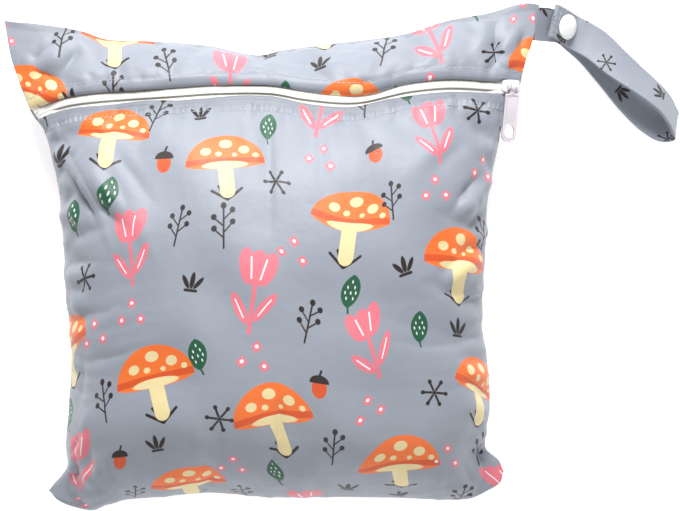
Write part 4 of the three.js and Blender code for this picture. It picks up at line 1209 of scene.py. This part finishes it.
def plateMesh(outline, low, high, bevel, hole=None):
    outline = np.array(outline, float)
    out, count = loopNormals(outline), len(outline)
    rings = [np.column_stack([outline - out * inset, np.full(count, level)])
             for inset, level in edgeProfile(low, high, bevel)]
    if hole is not None:
        hole = np.array(hole, float)
        inward = loopNormals(hole)
        rings += [np.column_stack([hole + inward * inset, np.full(count, level)])
                  for inset, level in reversed(edgeProfile(low, high, bevel))]
    faces = []
    for ring in range(len(rings) - (0 if hole is not None else 1)):
        a, b = ring * count, (ring + 1) % len(rings) * count
        for k in range(count):
            m = (k + 1) % count
            faces.append((a + k, a + m, b + m, b + k))
    if hole is None:
        faces.append(tuple(reversed(range(count))))
        faces.append(tuple((len(rings) - 1) * count + k for k in range(count)))
    return bareMesh("plate", np.concatenate(rings), faces)


def alike(outline, centre, radii):  # an oval loop with a point for each point of an outline
    away = np.array(outline) - centre
    angle = np.arctan2(away[:, 1] / radii[1], away[:, 0] / radii[0])
    return np.column_stack([centre[0] + radii[0] * np.cos(angle), centre[1] + radii[1] * np.sin(angle)])


def roundedOutline(corners, steps=6):  # corners: x, y, radius
    points = []
    for i, (x, y, radius) in enumerate(corners):
        here = Vector((x, y))
        before = (Vector(corners[i - 1][:2]) - here).normalized()
        after = (Vector(corners[(i + 1) % len(corners)][:2]) - here).normalized()
        for k in range(steps + 1):
            a = k / steps
            start, end = here + before * radius, here + after * radius
            points.append((start * (1 - a) ** 2 + here * 2 * a * (1 - a) + end * a ** 2)[:])
    filled = []
    for here, after in zip(points, points[1:] + points[:1]):
        count = max(1, math.ceil(math.dist(here, after) / 0.7))
        filled += [tuple(mix(a, b, k / count) for a, b in zip(here, after)) for k in range(count)]
    return filled


def turnedRod(radius, length, hole=0.0, count=40, bevel=0.12):  # along X, with a bore
    half = length / 2
    profile = [(-half, hole), (-half, radius - bevel), (-half + bevel, radius),
               (half - bevel, radius), (half, radius - bevel), (half, hole)]
    verts, faces = [], []
    for a in np.linspace(0, 2 * math.pi, count, endpoint=False):
        verts += [(x, r * math.cos(a), r * math.sin(a)) for x, r in profile]
    size = len(profile)
    for k in range(count):
        m = (k + 1) % count
        last = size if hole else size - 1
        for n in range(last):
            q = (n + 1) % size
            faces.append((k * size + n, m * size + n, m * size + q, k * size + q))
    return bareMesh("rod", verts, faces)


def blockMesh(x0, x1, y0, y1, z0, z1, bevel):
    outline = roundedOutline([(x0, y0, bevel), (x1, y0, bevel), (x1, y1, bevel), (x0, y1, bevel)], 4)
    return plateMesh(outline, z0, z1, min(bevel, 0.18))


def moved(mesh, x=0.0, y=0.0, z=0.0):
    mesh.transform(Matrix.Translation((x, y, z)))
    return mesh


def placedPiece(name, meshes, basis, sharp=38):
    obj = joinMeshes(name, meshes)
    obj.data.transform(basis)
    obj.data.transform(Matrix.Scale(mm, 4))
    obj.data.shade_smooth()
    obj.data.set_sharp_from_angle(angle=math.radians(sharp))
    return obj


def basisOf(f):
    rows = [[float(f[key][i]) for key in ("along", "beside", "above", "place")] for i in range(3)]
    return Matrix(rows + [[0, 0, 0, 1]])


sliderFrame = zipFrame(zipShare(sliderX), 0.012)
plateBase = zipper["tapeWall"] + bag["gap"] + zipper["coilRise"] + slider["runGap"]
plateTop = plateBase + slider["wall"]
eyeRadius = slider["barRadius"] + slider["runGap"] + slider["eyeWall"]
barLevel = plateTop + slider["runGap"] + eyeRadius


def sliderBody():
    half, side = slider["length"] / 2, slider["width"] / 2
    lower = [(-half, -side * slider["nose"], slider["noseRound"]),
             (-half / 3, -side, slider["sideRound"]), (half, -side, slider["tailRound"])]
    top = roundedOutline(lower + [(x, -y, r) for x, y, r in reversed(lower)])
    parts = [plateMesh(top, plateBase, plateTop, 0.4)]
    under = [(x * slider["underLength"] - slider["underBack"], y * slider["underWidth"]) for x, y in top]
    parts.append(plateMesh(under, -bag["gap"] - slider["wall"], -bag["gap"], 0.3))
    post, lap = slider["postWidth"] / 2, slider["joinLap"]
    parts.append(blockMesh(0.3, 2.2, -post, post, -bag["gap"] - lap, plateBase + lap, 0.25))
    low = zipper["tapeWall"] + slider["runGap"]
    for way in (-1, 1):
        y = sorted((way * (side - 0.25), way * (zipper["coilWidth"] / 2 + slider["runGap"])))
        parts.append(blockMesh(-half * 0.3, half * 0.8, *y, low, plateBase + 0.5, 0.25))
        reach = slider["barRadius"] + slider["lugRound"]
        outside = slider["bridgeWidth"] / 2
        x = sorted((way * outside, way * (outside - slider["lugWall"])))
        y = (slider["barSide"] - reach, slider["barSide"] + reach)
        parts.append(blockMesh(*x, *y, plateTop - lap, barLevel, 0.2))
        parts.append(moved(turnedRod(reach, slider["lugWall"]), sum(x) / 2, slider["barSide"], barLevel))
    bar = turnedRod(slider["barRadius"], slider["bridgeWidth"] - lap)
    parts.append(moved(bar, 0, slider["barSide"], barLevel))
    obj = placedPiece("sliderBody", parts, basisOf(sliderFrame))
    finishPiece(obj, sliderMaterial, ("zipper_slider",))


def pullPiece():
    half, end = pull["wall"] / 2, -pull["length"]
    foot, neck, start = pull["width"] / 2, pull["neck"] / 2, -eyeRadius - pull["bladeStart"]
    neckRound, footRound = pull["neckRound"], foot * pull["footRound"]
    outer = roundedOutline([(-neck, start, neckRound), (-foot, end, footRound), (foot, end, footRound),
                            (neck, start, neckRound)], 12)
    radii = np.array([pull["holeWidth"] / 2, pull["holeLength"] / 2])
    holeAt = end + pull["rim"] + pull["holeInset"] + pull["holeLength"] / 2
    hole, collar = (alike(outer, (0, holeAt), size) for size in (radii, radii + pull["collar"]))
    inside = np.array(outer) - loopNormals(np.array(outer)) * pull["rim"]
    core = half - pull["recess"]
    parts = [plateMesh(outer, -core, core, 0.2, hole), plateMesh(outer, -half, half, 0.35, inside),
             plateMesh(collar, -half * 0.94, half * 0.94, 0.25, hole)]
    eyeWidth = slider["bridgeWidth"] - 2 * slider["lugWall"] - 2 * slider["runGap"]
    bore = slider["barRadius"] + slider["runGap"]
    parts.append(blockMesh(-eyeWidth / 2, eyeWidth / 2, -eyeRadius - pull["eyeReach"], -bore,
                           -half, half, 0.2))
    parts.append(turnedRod(eyeRadius, eyeWidth, bore))
    hang = Matrix.Translation((0, slider["barSide"], barLevel))
    hang = hang @ Matrix.Rotation(math.radians(pull["droop"]), 4, "X")
    obj = placedPiece("pullTab", parts, basisOf(sliderFrame) @ hang)
    finishPiece(obj, sliderMaterial, ("pull_tab",), "pull_tab")


sliderBody()
pullPiece()
print("slider and pull made")


# Strap: out, fall, rise, turn, lean
strapOut = [
    (0.00, 0.000, 1.00, 77, 0), (0.09, 0.000, 0.80, 80, 0), (0.18, 0.010, 0.58, 80, 0),
    (0.28, 0.090, 0.38, 66, -4), (0.40, 0.220, 0.22, 50, -14), (0.55, 0.455, 0.16, 42, -20),
    (0.70, 0.700, 0.16, 42, -20), (0.83, 0.870, 0.17, 52, -22), (0.93, 0.955, 0.21, 66, -28),
    (1.00, 0.945, 0.33, 78, -31),
]
strapBack = [
    (0.970, 0.850, 0.50, 70, -44), (0.900, 0.720, 0.62, 60, -46), (0.810, 0.615, 0.68, 52, -42),
    (0.690, 0.490, 0.70, 47, -34), (0.555, 0.345, 0.68, 48, -20), (0.415, 0.175, 0.62, 58, -8),
]
strapEnd = (0, 0, 0, 82, 0)
rightRun = bag["height"] * (rightSeam[-1][0] - rightSeam[0][0])
rootRun = 1 - (strap["rootBelow"] + strap["width"] / 2) / rightRun
legPitch = strap["wall"] + snap["socketRise"] + 2 * bag["gap"]
rootPlace = frontPoint(1.0, rootRun) + np.array([bag["clothWall"] + bag["gap"], 0, -bag["gap"] / 2])


def strapPoint(row):
    return np.array([rootPlace[0] + row[0] * strap["reach"], rootPlace[1] - row[1] * strap["fall"],
                     row[2] * rootPlace[2]])


def routeAt(points, k):
    last = len(points) - 1
    run = last * k
    i = min(int(math.floor(run)), last - 1)
    w = run - i
    p1, p2 = points[i], points[i + 1]
    p0 = points[i - 1] if i > 0 else 2 * points[0] - points[1]
    p3 = points[i + 2] if i + 2 <= last else 2 * points[last] - points[last - 1]
    d0, d1, d2 = (math.sqrt(np.linalg.norm(b - a)) for a, b in ((p0, p1), (p1, p2), (p2, p3)))
    t1 = ((p1 - p0) / d0 - (p2 - p0) / (d0 + d1) + (p2 - p1) / d1) * d1
    t2 = ((p2 - p1) / d1 - (p3 - p1) / (d1 + d2) + (p3 - p2) / d2) * d1
    c2, c3 = -3 * p1 + 3 * p2 - 2 * t1 - t2, 2 * p1 - 2 * p2 + t1 + t2
    return p1 + t1 * w + c2 * w * w + c3 * w ** 3


def strapFrame(points, rows, k):
    count = len(rows) - 1
    i = min(count - 1, int(math.floor(k * count)))
    share = k * count - i
    turn, lean = (math.radians(mix(rows[i][n], rows[i + 1][n], share)) for n in (3, 4))
    along = unit(routeAt(points, min(1, k + 1e-4)) - routeAt(points, max(0, k - 1e-4)))
    beside = np.array([math.cos(turn), math.sin(turn), math.tan(lean)])
    beside = unit(beside - along * beside.dot(along))
    return {"place": routeAt(points, k), "along": along, "beside": beside, "above": np.cross(along, beside)}


firstLeg = [strapPoint(row) for row in strapOut]


def runAt(points, distance, count=200):
    ks = np.linspace(0, 1, count + 1)
    places = np.array([routeAt(points, k) for k in ks])
    lengths = np.concatenate([[0], np.linalg.norm(np.diff(places, axis=0), axis=1).cumsum()])
    return float(np.interp(distance, lengths, ks))


def legFrame(distance):
    return strapFrame(firstLeg, strapOut, runAt(firstLeg, distance))


def overLeg(distance):
    f = legFrame(distance)
    aside = max(0, strap["snapAlong"] - distance) * math.tan(math.radians(strap["tailTurn"]))
    return f["place"] + f["above"] * legPitch + f["beside"] * aside


strapStops = [strap["snapAlong"] + step for step in (8, 0, -4, -strap["tail"])]
strapPoints = [strapPoint(row) for row in strapOut + strapBack] + [overLeg(d) for d in strapStops]
strapRows = strapOut + strapBack + [strapEnd] * len(strapStops)


def strapPiece():
    ks = np.linspace(0, 1, strap["stations"])
    frames = [strapFrame(strapPoints, strapRows, k) for k in ks]
    places = np.array([f["place"] for f in frames])
    runs = np.concatenate([[0], np.linalg.norm(np.diff(places, axis=0), axis=1).cumsum()])
    for f, run in zip(frames, runs):
        folded = smooth(0, 0.8, run - runs[-1] + strap["foldLength"])
        f["above"] = f["above"] * (1 + strap["foldSwell"] * folded)
    root = dict(frames[0])
    root["place"] = root["place"] - root["along"] * strap["rootLap"]
    frames, runs = [root] + frames, np.concatenate([[-strap["rootLap"]], runs])
    half, thick = strap["width"] / 2, strap["wall"] / 2
    across = np.linspace(-half + thick, half - thick, 9)
    layer, steps = thick / 2, np.linspace(-math.pi / 2, math.pi / 2, 5)
    side = [(half - layer + layer * math.cos(a) - 0.05, level + layer * math.sin(a))
            for level in (-layer, layer) for a in steps]
    side = side[:4] + [(half - layer - 0.02, 0.0)] + side[6:]
    section = [(x, -thick) for x in across] + side
    section += [(x, thick) for x in across[::-1]] + [(-x, -z) for x, z in side]
    uv = [(b + (60 if a > 0 else 0), run) for run in runs for b, a in section]
    obj = sweep("strapCloth", frames, section, np.array(uv), 60)
    finishPiece(obj, strapCloth, ("strap",))
    return frames, runs


strapFrames, strapRuns = strapPiece()


def strapStitches():
    lines, half = [], strap["width"] / 2
    outside = -(strap["wall"] / 2 + stitch["strapLift"])

    def outer(f, aside):
        return f["place"] + f["beside"] * aside + f["above"] * outside

    for inset in stitch["endInsets"]:
        f = strapFrames[int(np.searchsorted(strapRuns, strapRuns[-1] - inset))]
        lines.append([outer(f, aside) for aside in np.linspace(-half + 1, half - 1, 12)])
    for side in (-1, 1):
        lines.append([outer(f, side * (half - stitch["edgeInset"])) for f in strapFrames[3:-4]])
    sizes = (stitch["pitch"], stitch["strapLength"], stitch["strapWidth"], stitch["strapHeight"], 0)
    beaded("strapStitches", lines, sizes, threadMaterial)


strapStitches()


def lathed(profile, count=64):
    angles = np.linspace(0, 2 * math.pi, count, endpoint=False)
    verts = [(r * math.cos(a), r * math.sin(a), z) for a in angles for r, z in profile[1:-1]]
    size = len(profile) - 2
    faces = []
    for k in range(count):
        m = (k + 1) % count
        faces += [(k * size + n, m * size + n, m * size + n + 1, k * size + n + 1) for n in range(size - 1)]
    verts += [(0, 0, profile[0][1]), (0, 0, profile[-1][1])]
    bottom, top = len(verts) - 2, len(verts) - 1
    for k in range(count):
        m = (k + 1) % count
        faces += [(bottom, m * size, k * size), (top, k * size + size - 1, m * size + size - 1)]
    return bareMesh("lathed", verts, faces)


def snapParts():
    basis = basisOf(legFrame(strap["snapAlong"]))
    r, rise, shoulder = snap["diameter"] / 2, snap["rise"], snap["shoulder"]
    cap = [(0, 0), (r - 0.5, 0), (r - 0.12, 0.14), (r, 0.5), (r - 0.10, 0.86), (r - 0.45, shoulder)]
    for k in (0.9, 0.8, 0.65, 0.5, 0.35, 0.2):
        crown = (1 - (k / snap["crownReach"]) ** 2) ** snap["crownPower"]
        cap.append((r * k, shoulder + (rise - shoulder) * crown))
    cap.append((0, rise))
    level = legPitch + strap["wall"] / 2 + bag["gap"]
    obj = placedPiece("snapCap", [lathed(cap)], basis @ Matrix.Translation((0, 0, level)))
    finishPiece(obj, snapMaterial, ("snap_cap",))


snapParts()
for node in ("snap_socket", "snap_back_cap"):
    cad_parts[node].data.materials.clear()
    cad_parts[node].data.materials.append(snapMaterial)
print("strap and snap made")


# Studio
studio = {
    "frameWidth": 0.3797, "lens": 120, "sensor": 36, "aim": (0.0358, 0.0020, 0.045),
    "keyPower": 25, "keySize": 0.55, "keyPlace": (-0.04, 1.02, 0.80),
    "fillPower": 8, "fillSize": 1.3, "fillPlace": (0.30, -0.95, 1.05), "lit": (0, 0, 0.05),
    "world": 0.42, "worldColour": (0.97, 0.98, 1.0, 1), "floorReach": 3, "floorDrop": 0.0002,
    "floorColour": (0.93, 0.93, 0.935, 1), "glowColour": (0.98, 0.99, 1.0, 1), "floorGlow": 0.48,
}


def areaLight(name, place, size, power):
    light = bpy.data.lights.new(name, "AREA")
    light.shape = "SQUARE"
    light.size = size
    light.energy = power
    obj = bpy.data.objects.new(name, light)
    obj.location = place
    obj.rotation_euler = (Vector(studio["lit"]) - Vector(place)).to_track_quat("-Z", "Y").to_euler()
    bpy.context.scene.collection.objects.link(obj)


def floorPiece():
    mesh, side = bpy.data.meshes.new("floor"), studio["floorReach"]
    corners = [(-side, -side, 0), (side, -side, 0), (side, side, 0), (-side, side, 0)]
    mesh.from_pydata(corners, [], [(0, 1, 2, 3)])
    obj = bpy.data.objects.new("floor", mesh)
    bpy.context.scene.collection.objects.link(obj)
    obj.location.z = -studio["floorDrop"]
    material, _, shader = newMaterial("paleFloor")
    shader.inputs["Base Color"].default_value = studio["floorColour"]
    shader.inputs["Emission Color"].default_value = studio["glowColour"]
    shader.inputs["Emission Strength"].default_value = studio["floorGlow"]
    shader.inputs["Roughness"].default_value = 0.9
    mesh.materials.append(material)


floorPiece()
for light in ("key", "fill"):
    areaLight(light, studio[light + "Place"], studio[light + "Size"], studio[light + "Power"])
world = bpy.data.worlds.new("studioWorld")
bpy.context.scene.world = world
world.use_nodes = True
background = world.node_tree.nodes["Background"]
background.inputs["Color"].default_value = studio["worldColour"]
background.inputs["Strength"].default_value = studio["world"]
bpy.context.scene.view_settings.view_transform = "Standard"

camera = bpy.data.cameras.new("camera")
camera.lens = studio["lens"]
camera.sensor_width = studio["sensor"]
cameraObject = bpy.data.objects.new("camera", camera)
reach = studio["frameWidth"] * studio["lens"] / studio["sensor"]
cameraObject.location = Vector(studio["aim"]) + Vector((0, 0, reach))
bpy.context.scene.collection.objects.link(cameraObject)
bpy.context.scene.camera = cameraObject
print("studio made")
